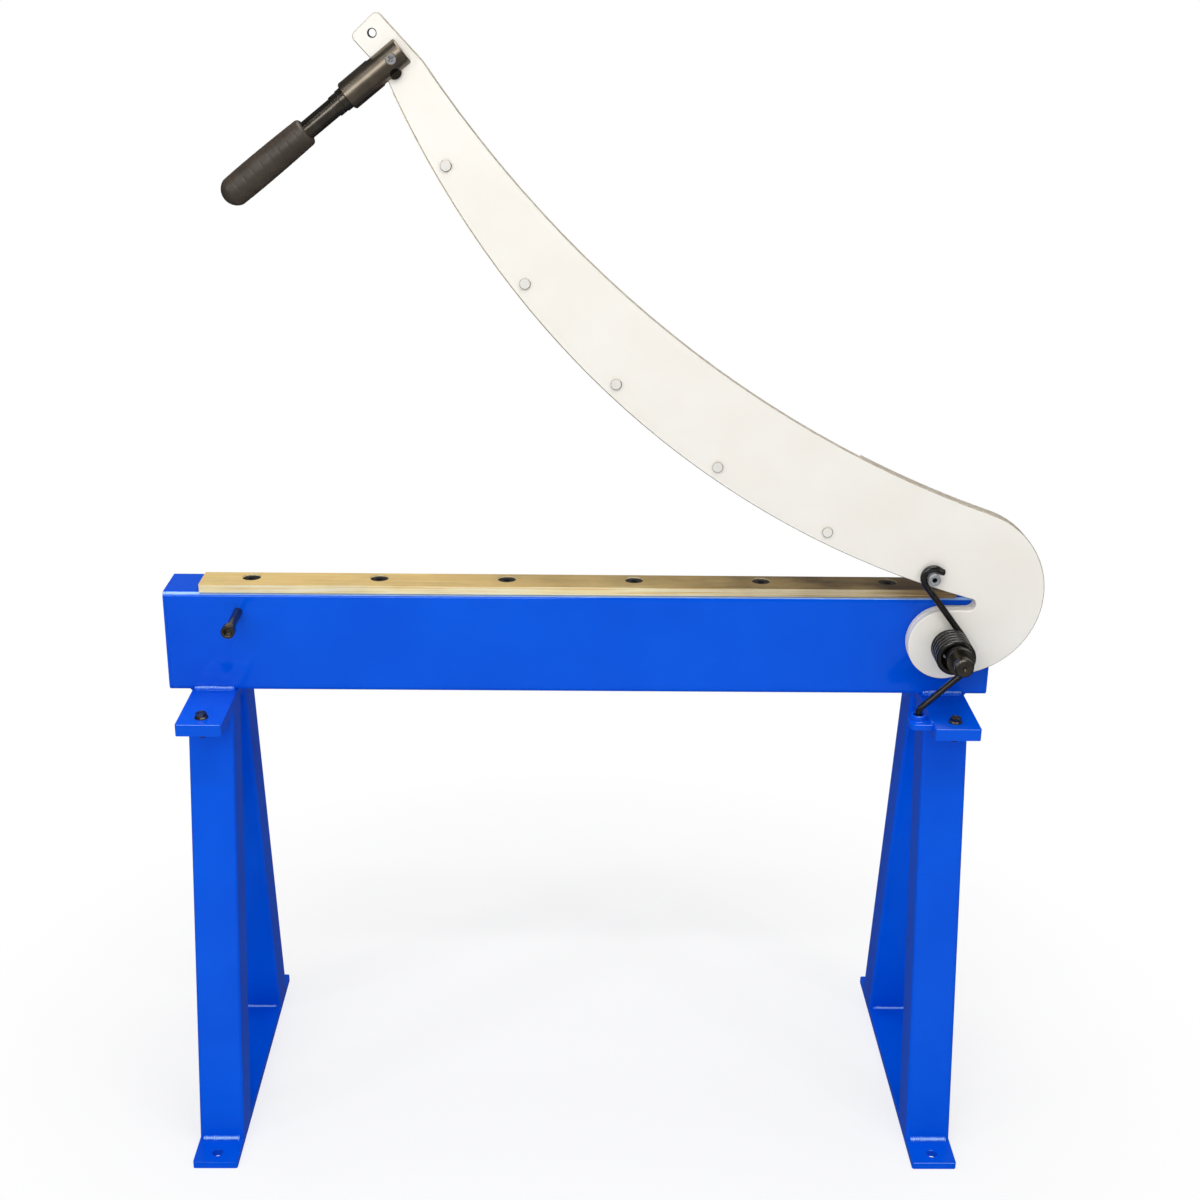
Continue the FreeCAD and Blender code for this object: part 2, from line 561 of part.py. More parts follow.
def make_blade_screws():
    """Countersunk screws, sunk a little below the face of the blade."""
    screws = []
    for number in range(BLADE_HOLES):
        x = blade_hole_x(number)
        y = "places.blade_hole_y"
        top = "(places.blade_top_z - dims.screw_sink)"
        head = "(dims.blade_screw_head - dims.blade_screw) / 2"
        length = "(dims.blade_thickness - dims.screw_sink + dims.beam_wall + dims.backing_bar_thickness)"
        pieces = [cone("blade_screw_head", (x, y, top), "dims.blade_screw_head / 2",
                       "dims.blade_screw / 2", head, "down"),
                  cylinder("blade_screw_shank", (x, y, top), "dims.blade_screw / 2", length, "down")]
        key = hexagon("blade_screw_key", (x, y, top), "dims.blade_screw_key", "dims.blade_key_depth", "down")
        screws.append(cut("blade_screw", fuse("blade_screw_blank", pieces), key))
    return group("lower_blade_screws", screws)


# Stands: an A-frame of square tube between a top plate and a base plate, bolted under the beam
def make_leg(name, left, side):
    """One leaning square tube, cut level at both ends; side is -1 for the near leg."""
    owner = body(name)
    foot = "places.beam_mid_y + %d * dims.leg_spread_foot" % side
    near = foot if side < 0 else foot + " - dims.leg_size"
    section = sketch(owner, "XY_Plane", "dims.base_thickness")
    rounded_rectangle(section, "outside", left, near, "dims.leg_size", "dims.leg_size", "dims.leg_corner")
    rounded_rectangle(section, "inside", left + " + dims.leg_wall", near + " + dims.leg_wall",
                      "dims.leg_size - 2 * dims.leg_wall", "dims.leg_size - 2 * dims.leg_wall",
                      "dims.leg_corner - dims.leg_wall")
    tube = pad(owner, section, "places.leg_height")
    tube.UseCustomVector = True
    tube.Direction = Vector(0, 0, 1)
    tube.setExpression("Direction.y", "%d * places.leg_lean" % -side)
    tube.setExpression("Direction.z", "places.leg_height")
    tube.AlongSketchNormal = True
    return owner


def make_stand(name, middle):
    """The top plate, two legs and base plate of one stand."""
    left = middle + " - dims.stand_plate_width / 2"
    leg_left = middle + " - dims.leg_size / 2"
    bolts = [(middle, y, "dims.stand_bolt / 2 + dims.screw_clearance") for y in STAND_BOLT_YS]
    floor = [(middle, y, "dims.floor_hole / 2") for y in FLOOR_HOLE_YS]
    return [
        plate(name + "_top_plate", left, "places.foot_near_y", "places.leg_top_z", "dims.stand_plate_width",
              "places.foot_depth", "dims.top_plate_thickness", bolts),
        make_leg(name + "_near_leg", leg_left, -1),
        make_leg(name + "_far_leg", leg_left, 1),
        plate(name + "_base_plate", left, "places.base_near_y", "0", "dims.stand_plate_width",
              "places.base_depth", "dims.base_thickness", floor)]


def make_foot_plate(name, middle):
    """The plate welded under the beam that the stand is bolted to."""
    left = middle + " - dims.stand_plate_width / 2"
    bolts = [(middle, y, "dims.stand_bolt / 2 + dims.screw_clearance") for y in STAND_BOLT_YS]
    return plate(name, left, "places.foot_near_y", "places.foot_bottom_z", "dims.stand_plate_width",
                 "places.foot_depth", "dims.foot_plate_thickness", bolts)


def stand_bolt(x, y, length):
    """A flanged hexagon bolt with a shallow recess in its head."""
    seat = (x, y, "places.beam_bottom_z")
    rim_top = (x, y, "places.beam_bottom_z + dims.flange_rim")
    head_top = (x, y, "places.beam_bottom_z + dims.stand_bolt_head")
    pieces = [
        hexagon("bolt_hexagon", seat, "dims.stand_bolt_flats", "dims.stand_bolt_head"),
        cylinder("bolt_flange", seat, "dims.stand_bolt_flange / 2", "dims.flange_rim"),
        cone("bolt_flange_top", rim_top, "dims.stand_bolt_flange / 2", "dims.stand_bolt_flats / 2",
             "dims.flange_rise"),
        cylinder("bolt_shank", seat, "dims.stand_bolt / 2", length, "down")]
    dish = cylinder("bolt_dish", head_top, "dims.stand_bolt_dish / 2", "dims.stand_bolt_dish_depth", "down")
    return cut("stand_bolt", fuse("stand_bolt_blank", pieces), dish)


def make_stand_fasteners():
    """Flanged bolts through foot plate and top plate, with washers and nuts below."""
    bolts, washers, nuts = [], [], []
    length = "dims.foot_plate_thickness + dims.top_plate_thickness + dims.stand_washer_thickness" \
             " + dims.stand_nut_height + dims.bolt_end"
    nut_z = "places.leg_top_z - dims.stand_washer_thickness"
    for x in STAND_XS:
        for y in STAND_BOLT_YS:
            bolts.append(stand_bolt(x, y, length))
            seat = (x, y, "places.leg_top_z")
            disc = cylinder("washer_disc", seat, "dims.stand_washer / 2", "dims.stand_washer_thickness", "down")
            hole = cylinder("washer_hole", seat, "dims.stand_bolt / 2 + dims.screw_clearance",
                            "dims.stand_washer_thickness", "down")
            washers.append(cut("washer", disc, hole))
            blank = hexagon("nut_blank", (x, y, nut_z), "dims.stand_bolt_flats", "dims.stand_nut_height", "down")
            thread = cylinder("nut_thread", (x, y, nut_z), "dims.stand_bolt / 2", "dims.stand_nut_height", "down")
            nuts.append(cut("nut", blank, thread))
    return [group("stand_bolts", bolts), group("stand_washers", washers), group("stand_nuts", nuts)]


def make_stop_bolt():
    """The cap screw in the near face of the beam that the lowered arm comes to rest on."""
    under_head = ("places.stop_bolt_x", "places.beam_near_y - dims.stop_reach", "places.stop_bolt_z")
    shank = cylinder("stop_shank", under_head, "dims.stop_bolt / 2",
                     "dims.stop_reach + dims.beam_wall + dims.stop_nut_height + dims.bolt_end", "far")
    head = cylinder("stop_head", under_head, "dims.stop_head / 2", "dims.stop_head_height", "near")
    face = ("places.stop_bolt_x", "places.beam_near_y - dims.stop_reach - dims.stop_head_height",
            "places.stop_bolt_z")
    key = hexagon("stop_key", face, "dims.stop_key", "dims.stop_key_depth", "far")
    nut_at = ("places.stop_bolt_x", "places.beam_near_y + dims.beam_wall", "places.stop_bolt_z")
    nut = cut("stop_bolt_nut",
              hexagon("stop_nut_blank", nut_at, "dims.stop_nut_flats", "dims.stop_nut_height", "far"),
              cylinder("stop_nut_thread", nut_at, "dims.stop_bolt / 2", "dims.stop_nut_height", "far"))
    return [cut("stop_bolt", fuse("stop_blank", [head, shank]), key), nut]


def ring(name, at, outer, inner, width, towards):
    return cut(name, cylinder(name + "_outside", at, outer, width, towards),
               cylinder(name + "_inside", at, inner, width, towards))


# Pivot: a fixed shaft through the beam, which the arm turns on and the spring is wound about
def make_pivot():
    shaft_r = "dims.shaft_diameter / 2"
    beam_face = ("places.pivot_x", "places.beam_near_y", "places.pivot_z")
    beam_back = ("places.pivot_x", "places.beam_far_y", "places.pivot_z")
    nut_seat = ("places.pivot_x", "places.beam_far_y + dims.pivot_washer_thickness", "places.pivot_z")
    shaft_end = ("places.pivot_x", "places.shaft_end_y", "places.pivot_z")
    length = "places.beam_far_y + dims.pivot_washer_thickness + dims.pivot_nut_height + dims.bolt_end" \
             " - places.shaft_end_y"
    bar = cylinder("shaft_bar", shaft_end, shaft_r, length, "far")
    centre = cone("shaft_centre", shaft_end, "dims.shaft_centre / 2", "0", "dims.shaft_centre / 2", "far")
    chamfered = doc.addObject("Part::Chamfer", "shaft_chamfered")
    chamfered.Base = bar
    doc.recompute()
    edges = [n for n, e in enumerate(bar.Shape.Edges, start=1) if isinstance(e.Curve, Part.Circle)]
    chamfered.Edges = [(n, dim("shaft_chamfer"), dim("shaft_chamfer")) for n in edges]
    pieces = [
        cut("pivot_shaft", chamfered, centre),
        ring("pivot_tube", beam_face, "dims.pivot_tube_diameter / 2", shaft_r, "dims.beam_depth", "far"),
        ring("pivot_washer", beam_back, "dims.pivot_washer / 2", shaft_r + " + dims.screw_clearance",
             "dims.pivot_washer_thickness", "far"),
        cut("pivot_nut", hexagon("pivot_nut_blank", nut_seat, "dims.pivot_nut_flats", "dims.pivot_nut_height", "far"),
            cylinder("pivot_nut_thread", nut_seat, shaft_r, "dims.pivot_nut_height", "far")),
        ring("thrust_washer", beam_face, "dims.thrust_diameter / 2", shaft_r, "dims.thrust_thickness", "near")]
    sleeve_back = ("places.pivot_x", "places.arm_face_y - dims.side_gap", "places.pivot_z")
    pieces.append(ring("spring_sleeve", sleeve_back, "dims.sleeve_diameter / 2", shaft_r,
                       "places.arm_face_y - dims.side_gap - places.collar_back_y", "near"))
    collar_at = ("places.pivot_x", "places.collar_back_y", "places.pivot_z")
    collar = ring("collar_blank", collar_at, "dims.collar_diameter / 2", shaft_r, "dims.collar_width", "near")
    screw_at = ("places.pivot_x + dims.shaft_diameter / 2", "places.collar_back_y - dims.collar_width / 2",
                "places.pivot_z")
    wall = "(dims.collar_diameter - dims.shaft_diameter) / 2"
    hole = cylinder("collar_hole", screw_at, "dims.collar_screw / 2", wall, "right")
    screw = cylinder("collar_screw_bar", screw_at, "dims.collar_screw / 2",
                     wall + " - dims.collar_screw_sink", "right")
    pieces += [cut("spring_collar", collar, hole), group("collar_set_screw", [screw])]
    return pieces


# Lift spring: a torsion spring whose lower leg stands in an eyelet and whose upper leg hooks under the arm
def polar(centre, radius, angle):
    """A point on a circle in the plane of the arm, at an angle in degrees from +X towards +Z."""
    turn = math.radians(angle)
    return Vector(centre.x + radius * math.cos(turn), centre.y, centre.z + radius * math.sin(turn))


def heading(angle):
    return polar(Vector(), 1, angle)


def arc(centre, radius, first, last):
    middle = polar(centre, radius, (first + last) / 2)
    return Part.Arc(polar(centre, radius, first), middle, polar(centre, radius, last)).toShape()


def line(first, last):
    return Part.LineSegment(first, last).toShape()


def angle_of(point, centre):
    return math.degrees(math.atan2(point.z - centre.z, point.x - centre.x)) % 360


def edge_centre():
    return Vector(place("edge_centre_x"), 0, place("edge_centre_z"))


def edge_angle(along):
    """The angle about the edge's centre of a place so far from the notch along the edge."""
    return place("notch_angle") - math.degrees(along / dim("edge_radius"))


def edge_point(along, inset):
    """A place so far along the arm's crowned lower edge and in from it, in the plane Y = 0."""
    return polar(edge_centre(), dim("edge_radius") - inset, edge_angle(along))


def easing(at, tangent, outward):
    """A short arc that brings the rising end of the coil into the plane of its leg."""
    flat_way = Vector(tangent.x, 0, tangent.z).normalize()
    slope = math.asin(tangent.y)

    def along(share):
        angle = slope * (1 - share)
        forward = dim("leg_easing") * (math.sin(slope) - math.sin(angle))
        sideways = dim("leg_easing") * (math.cos(angle) - math.cos(slope))
        return at + (flat_way * forward + Vector(0, sideways, 0)) * outward

    return Part.Arc(along(0), along(0.5), along(1)).toShape(), along(1)


def make_spring():
    radius = dim("coil_diameter") / 2
    leg_from = dim("lower_leg_angle")
    leg_to = place("upper_leg_angle")
    front = Vector(place("coil_x"), place("coil_front_y"), place("coil_z"))
    rise = place("coil_back_y") - place("coil_front_y")

    # The coil is a left-handed helix about +Y, turned so that it starts at the lower leg
    helix = Part.makeHelix(dim("coil_pitch"), rise, radius, 0, True)
    along = heading(leg_from + 90)
    across = Vector(along.z, 0, -along.x)
    helix.Placement = Placement(FreeCAD.Matrix(
        along.x, across.x, 0, front.x,
        along.y, across.y, 1, front.y,
        along.z, across.z, 0, front.z,
        0, 0, 0, 1))
    coil = helix.Edges[0]
    start, end = coil.FirstParameter, coil.LastParameter
    lower_ease, coil_start = easing(coil.valueAt(start), coil.tangentAt(start), -1)
    upper_ease, coil_end = easing(coil.valueAt(end), coil.tangentAt(end), 1)

    # The lower leg leaves the coil on a tangent and bends down into the eyelet
    bend = dim("lower_leg_bend")
    down = heading(leg_from)
    reach = bend * (1 - math.cos(math.radians(270 - leg_from)))
    bend_start = coil_start + down * ((place("eyelet_x") + reach - coil_start.x) / down.x)
    bend_centre = bend_start + heading(leg_from + 90) * bend
    foot = Vector(place("eyelet_x"), coil_start.y, place("eyelet_bottom_z") + dim("lower_leg_end"))
    lower_leg = [line(foot, polar(bend_centre, bend, 180)),
                 arc(bend_centre, bend, 180, leg_from - 90),
                 line(bend_start, coil_start)]

    # The upper leg leaves on a tangent, bends, goes over the hook bolt and ends in an upturned tip
    bolt = edge_point(dim("hook_bolt_along"), dim("hook_bolt_inset"))
    bolt.y = coil_end.y
    up = heading(leg_to)
    side = heading(leg_to - 90)
    large = dim("upper_leg_bend")
    small = dim("hook_bolt_head") / 2 + dim("wire") / 2 + dim("hook_clearance")
    offset = (bolt - coil_end).dot(side)
    run = (bolt - coil_end).dot(up) - math.sqrt((large - small) ** 2 - (large - offset) ** 2)
    bend_centre = coil_end + up * run + side * large
    meet = angle_of(bolt, bend_centre)
    leave = dim("hook_end_angle")
    tip = dim("hook_tip_bend")
    tip_centre = polar(bolt, small + tip, leave)
    upper_leg = [line(coil_end, coil_end + up * run),
                 arc(bend_centre, large, leg_to + 90, meet),
                 arc(bolt, small, meet, leave),
                 arc(tip_centre, tip, leave + 180, leave + 180 + dim("hook_tip_turn"))]
    path = Part.Wire(lower_leg + [lower_ease, coil, upper_ease] + upper_leg)
    section = Part.Wire(Part.makeCircle(dim("wire") / 2, foot, Vector(0, 0, 1)))
    item = doc.addObject("Part::Feature", "lift_spring")
    item.Shape = path.makePipeShell([section], True, False)
    return item


def make_eyelet():
    """The ring that holds the spring's lower leg, on an ear welded beside the foot plate."""
    owner = body("eyelet_ear")
    outline = sketch(owner, "XY_Plane", "places.eyelet_bottom_z")
    left = "places.foot_side_x - dims.ear_reach"
    near = "places.coil_front_y - dims.ear_near_edge"
    rounded_rectangle(outline, "ear", left, near, "2 * dims.ear_reach", "dims.ear_depth", "dims.ear_corner")
    pad(owner, outline, "dims.ear_thickness")
    beyond = box("eyelet_ear_end", ("places.foot_side_x", near, "places.eyelet_bottom_z"),
                 "dims.ear_reach", "dims.ear_depth", "dims.ear_thickness")
    at = ("places.eyelet_x", "places.coil_front_y", "places.eyelet_bottom_z")
    ring_bar = cylinder("eyelet_ring", at, "dims.eyelet_diameter / 2", "dims.eyelet_height")
    bore = cylinder("eyelet_bore", at, "dims.eyelet_bore / 2", "dims.eyelet_height")
    blank = fuse("eyelet_blank", [cut("eyelet_ear_cut", owner, beyond), ring_bar])
    return cut("spring_eyelet", blank, bore)


# Arm: a curved plate, backed about its shaft, with the crowned upper blade screwed behind its lower edge
def flat(point):
    return (point.x, point.z)


def meet_circle(start, direction, centre, radius):
    """Where a line first meets a circle."""
    to_centre = start - centre
    half = to_centre.dot(direction)
    return start + direction * (-half - math.sqrt(half ** 2 - to_centre.dot(to_centre) + radius ** 2))


def arm_arc(centre, radius, first, last):
    """An arc of the outline; the angles run from first to last either way."""
    return [flat(polar(centre, radius, a)) for a in (first, (first + last) / 2, last)]


def shaft_place():
    return Vector(place("pivot_x"), 0, place("pivot_z"))


def end_circle():
    return shaft_place() + Vector(dim("end_past"), 0, dim("end_rise")), dim("end_radius")


def lobe_circle():
    return shaft_place() - Vector(dim("lobe_back"), 0, dim("lobe_drop")), dim("lobe_radius")


def tang_frame():
    """The middle of the tang's end, the direction along the tang inwards and the one across it."""
    tip = Vector(place("tip_x"), 0, place("tip_z"))
    return tip, heading(-dim("tang_angle")), heading(90 - dim("tang_angle"))


def top_centre():
    """The centre of the hollow top edge, which is tangent to the round end and ends on the tang."""
    tip, inward, outward = tang_frame()
    shoulder = tip + outward * (dim("tang_width") / 2) + inward * dim("tang_upper_length")
    centre, end = end_circle()
    top = dim("top_radius")
    span = shoulder - centre
    along = ((top + end) ** 2 - top ** 2 + span.Length ** 2) / (2 * span.Length)
    span.normalize()
    across = Vector(span.z, 0, -span.x)
    return centre + span * along + across * math.sqrt((top + end) ** 2 - along ** 2), shoulder


def lobe_and_end():
    """The outline that both plates of the arm share: lobe, straight underside, round end and notch."""
    lobe_centre, lobe = lobe_circle()
    end_centre, end = end_circle()
    span = end_centre - lobe_centre
    under = angle_of(end_centre, lobe_centre) - math.degrees(math.acos((lobe - end) / span.Length))
    tangent = angle_of(top_centre()[0], end_centre)
    notch_top = Vector(place("notch_x"), 0, place("notch_top_z"))
    lobe_top = lobe_centre + Vector(0, 0, lobe)
    notch_bottom = Vector(notch_top.x, 0, lobe_top.z)
    round_end = [arm_arc(lobe_centre, lobe, 90, under + 360),
                 [flat(polar(lobe_centre, lobe, under)), flat(polar(end_centre, end, under))],
                 arm_arc(end_centre, end, under, tangent)]
    back = [arm_arc((notch_top + notch_bottom) / 2, dim("notch_height") / 2, 90, -90),
            [flat(notch_bottom), flat(lobe_top)]]
    return round_end, back, polar(end_centre, end, tangent), notch_top


def make_arm_plate():
    owner = body("arm_plate")
    outline = sketch(owner, "XZ_Plane", "-places.arm_back_y")
    round_end, back, top_start, notch_top = lobe_and_end()
    hollow, shoulder = top_centre()
    crown = edge_centre()
    tip, inward, outward = tang_frame()
    half = dim("tang_width") / 2
    corner = dim("tang_corner")
    upper_side = tip + outward * half
    lower_side = tip - outward * half
    lower_end = meet_circle(lower_side, inward, crown, dim("edge_radius"))
    upper_round = tip + outward * (half - corner) + inward * corner
    lower_round = tip - outward * (half - corner) + inward * corner
    slope = 90 - dim("tang_angle")
    draw(outline, round_end + [
        arm_arc(hollow, dim("top_radius"), angle_of(top_start, hollow), angle_of(shoulder, hollow)),
        [flat(shoulder), flat(upper_side + inward * corner)],
        arm_arc(upper_round, corner, slope, slope + 90),
        [flat(polar(upper_round, corner, slope + 90)), flat(polar(lower_round, corner, slope + 90))],
        arm_arc(lower_round, corner, slope + 90, slope + 180),
        [flat(lower_side + inward * corner), flat(lower_end)],
        arm_arc(crown, dim("edge_radius"), angle_of(lower_end, crown), edge_angle(0))
    ] + back)
    drill(outline, "bush", shaft_place(), "dims.bush_diameter / 2")
    drill(outline, "tang", tip + inward * dim("tang_hole_edge"), "dims.tang_hole / 2")
    drill(outline, "handle", handle_point(dim("handle_screw_place")), "dims.handle_screw / 2 + dims.screw_clearance")
    for number, point in enumerate(edge_screw_points()):
        drill(outline, "screw%d" % number, point, "dims.edge_screw / 2 + dims.screw_clearance")
    drill(outline, "hook", edge_point(dim("hook_bolt_along"), dim("hook_bolt_inset")),
          "dims.hook_bolt_thread / 2 + dims.screw_clearance")
    pad(owner, outline, "dims.arm_thickness")
    return owner


def drill(outline, name, point, radius):
    """A round hole in an outline of the arm."""
    outline.addGeometry(Part.Circle(Vector(point.x, point.z, 0), Vector(0, 0, 1), reckon(radius)), False)
    index = outline.GeometryCount - 1
    hold(outline, name + "_radius", "Radius", [index], radius)


def handle_point(along):
    """A point on the axis of the handle, in the plane Y = 0."""
    return Vector(place("socket_x"), 0, place("socket_z")) + heading(dim("handle_angle")) * along


def edge_screw_points():
    return [edge_point(dim("edge_screw_heel") + n * place("edge_screw_pitch"), dim("edge_screw_inset"))
            for n in range(int(dim("edge_screw_count")))]


def make_arm_backing():
    """The plate behind the arm plate about the shaft, with a tail that runs out along the top edge."""
    owner = body("arm_backing_plate")
    outline = sketch(owner, "XZ_Plane", "-places.pad_back_y")
    round_end, back, top_start, notch_top = lobe_and_end()
    hollow = top_centre()[0]
    top = dim("top_radius")
    start = angle_of(top_start, hollow)
    tail = start - math.degrees(dim("backing_tail") / top)
    rise = top_start - notch_top
    knee = notch_top + rise * (dim("backing_cut") / rise.Length)
    draw(outline, round_end + [arm_arc(hollow, top, start, tail),
                               [flat(polar(hollow, top, tail)), flat(knee)], [flat(knee), flat(notch_top)]] + back)
    drill(outline, "bush", shaft_place(), "dims.bush_diameter / 2")
    pad(owner, outline, "places.pad_back_y - places.arm_back_y")
    return owner


def make_upper_blade():
    owner = body("upper_blade")
    outline = sketch(owner, "XZ_Plane", "-places.blade_back_y")
    first = edge_angle(dim("blade_length"))
    last = edge_angle(dim("upper_blade_heel"))
    centre = edge_centre()
    outer = dim("edge_radius") + dim("upper_blade_proud")
    inner = outer - dim("upper_blade_width")
    draw(outline, [
        arm_arc(centre, outer, first, last),
        [flat(polar(centre, outer, last)), flat(polar(centre, inner, last))],
        arm_arc(centre, inner, last, first),
        [flat(polar(centre, inner, first)), flat(polar(centre, outer, first))]])
    for number, point in enumerate(edge_screw_points()):
        drill(outline, "screw%d" % number, point, "dims.edge_screw / 2")
    drill(outline, "hook", edge_point(dim("hook_bolt_along"), dim("hook_bolt_inset")), "dims.hook_bolt_thread / 2")
    pad(owner, outline, "dims.upper_blade_thickness")
    return owner


def arm_place(point, y):
    """A place on the arm as formulas: fixed offsets from the shaft in X and Z."""
    return ("places.pivot_x + %.6f" % (point.x - place("pivot_x")), y,
            "places.pivot_z + %.6f" % (point.z - place("pivot_z")))


def make_edge_screws():
    screws = []
    for point in edge_screw_points():
        at = arm_place(point, "places.arm_face_y")
        head = cylinder("edge_screw_head", at, "dims.edge_screw_head / 2", "dims.edge_screw_head_height", "near")
        shank = cylinder("edge_screw_shank", at, "dims.edge_screw / 2",
                         "dims.arm_thickness + dims.upper_blade_thickness - dims.screw_clearance", "far")
        screws.append(fuse("edge_screw", [head, shank]))
    return group("upper_blade_screws", screws)


def make_hook_bolt():
    """The long-headed bolt near the shaft that the spring's hook pulls up."""
    point = edge_point(dim("hook_bolt_along"), dim("hook_bolt_inset"))
    at = arm_place(point, "places.arm_face_y")
    head = cylinder("hook_bolt_head", at, "dims.hook_bolt_head / 2", "dims.hook_bolt_reach", "near")
    shank = cylinder("hook_bolt_shank", at, "dims.hook_bolt_thread / 2",
                     "dims.arm_thickness + dims.upper_blade_thickness - dims.screw_clearance", "far")
    key = hexagon("hook_bolt_key", arm_place(point, "places.arm_face_y - dims.hook_bolt_reach"),
                  "dims.hook_bolt_key", "dims.hook_key_depth", "far")
    return cut("hook_bolt", fuse("hook_bolt_blank", [head, shank]), key)


# Handle: a slotted socket over the tang, a rod and a grip, drawn upright and then laid along the handle
def lay(item):
    """Lays a piece that is drawn along +Z from the socket's end along the handle."""
    item.Placement = Placement(Vector(), Rotation(Vector(0, 1, 0), 90))
    item.setExpression("Placement.Base.x", "places.socket_x")
    item.setExpression("Placement.Base.y", "places.arm_middle_y")
    item.setExpression("Placement.Base.z", "places.socket_z")
    item.setExpression("Placement.Rotation.Angle", "450 - dims.handle_angle")
    return item


def make_socket():
    """The socket, slotted over the tang, with a round lug by the tang's lower edge."""
    radius = "dims.socket_diameter / 2"
    bar = cylinder("socket_bar", ("0", "0", "dims.socket_rim"), radius,
                   "dims.socket_length - 2 * dims.socket_rim")
    rims = [cone("socket_rim_near", ("0", "0", "0"), radius + " - dims.socket_rim", radius, "dims.socket_rim"),
            cone("socket_rim_far", ("0", "0", "dims.socket_length - dims.socket_rim"), radius,
                 radius + " - dims.socket_rim", "dims.socket_rim")]
    wall = "(dims.arm_thickness + dims.slot_clearance) / 2"
    lug_at = ("-(" + radius + " + dims.lug_reach - dims.socket_lug / 2)", "-" + wall, "dims.lug_place")
    lug = cylinder("socket_lug", lug_at, "dims.socket_lug / 2", "dims.lug_thickness", "near")
    blank = fuse("socket_blank", [bar] + rims + [lug])
    slot = box("socket_slot", ("-dims.socket_diameter / 2", "-(dims.arm_thickness + dims.slot_clearance) / 2", "0"),
               "dims.socket_diameter", "dims.arm_thickness + dims.slot_clearance", "dims.slot_depth")
    bore = cylinder("socket_bore", ("0", "0", "dims.slot_depth"), "dims.rod_diameter / 2",
                    "dims.socket_length - dims.slot_depth")
    seat = "dims.socket_diameter / 2 - dims.socket_flat"
    flats = [cylinder("socket_flat", ("0", sign + "(" + seat + ")", "dims.handle_screw_place"),
                      "dims.handle_screw_head / 2 + dims.socket_flat_margin", "dims.socket_flat", towards)
             for sign, towards in (("-", "near"), ("", "far"))]
    hole = cylinder("socket_hole", ("0", "-dims.socket_diameter / 2", "dims.handle_screw_place"),
                    "dims.handle_screw / 2", "dims.socket_diameter", "far")
    return lay(cut("handle_socket", blank, group("socket_cuts", [slot, bore, hole] + flats)))


def make_cross_screw():
    """The screw through the socket and the tang, with its nut on the far side."""
    seat = "(dims.socket_diameter / 2 - dims.socket_flat)"
    near = ("0", "-" + seat, "dims.handle_screw_place")
    far = ("0", seat, "dims.handle_screw_place")
    head = cylinder("cross_head", near, "dims.handle_screw_head / 2", "dims.handle_screw_head_height", "near")
    shank = cylinder("cross_shank", near, "dims.handle_screw / 2",
                     "2 * " + seat + " + dims.handle_nut_height", "far")
    nut = cut("handle_nut", hexagon("handle_nut_blank", far, "dims.handle_nut_flats", "dims.handle_nut_height", "far"),
              cylinder("handle_nut_thread", far, "dims.handle_screw / 2", "dims.handle_nut_height", "far"))
    recess_y = "-(" + seat + " + dims.handle_screw_head_height)"
    length, width = "dims.cross_recess", "dims.cross_recess_width"
    arms = [box("cross_recess_bar", ("-" + across + " / 2", recess_y, "dims.handle_screw_place - " + along + " / 2"),
                across, "dims.cross_recess_depth", along)
            for across, along in ((length, width), (width, length))]
    blank = fuse("cross_screw_blank", [head, shank])
    return [lay(cut("handle_screw", blank, group("cross_recess_bars", arms))), lay(nut)]


def make_rod():
    rod = cylinder("handle_rod_bar", ("0", "0", "dims.slot_depth"), "dims.rod_diameter / 2", "dims.rod_length")
    piece = group("handle_rod", [rod])
    return lay(piece)


def make_ferrule():
    length = "dims.ferrule_length + dims.ferrule_collar_length"
    wide = cylinder("ferrule_wide", ("0", "0", "dims.socket_length"), "dims.ferrule_diameter / 2",
                    "dims.ferrule_length")
    collar = cylinder("ferrule_collar", ("0", "0", "dims.socket_length"), "dims.ferrule_collar / 2", length)
    bore = cylinder("ferrule_bore", ("0", "0", "dims.socket_length"), "dims.rod_diameter / 2", length)
    return lay(cut("handle_ferrule", fuse("ferrule_blank", [wide, collar]), bore))


def grip_radius(along):
    """Half the width of the grip so far from its mouth: a low swell about its belly."""
    belly = dim("grip_belly")
    widest = dim("grip_diameter") / 2
    if along < belly:
        drop, share = widest - dim("grip_mouth") / 2, (belly - along) / belly
    else:
        reach = dim("grip_length") - dim("grip_dome") - belly
        drop, share = widest - dim("grip_heel") / 2, (along - belly) / reach
    return widest - drop * share ** 2


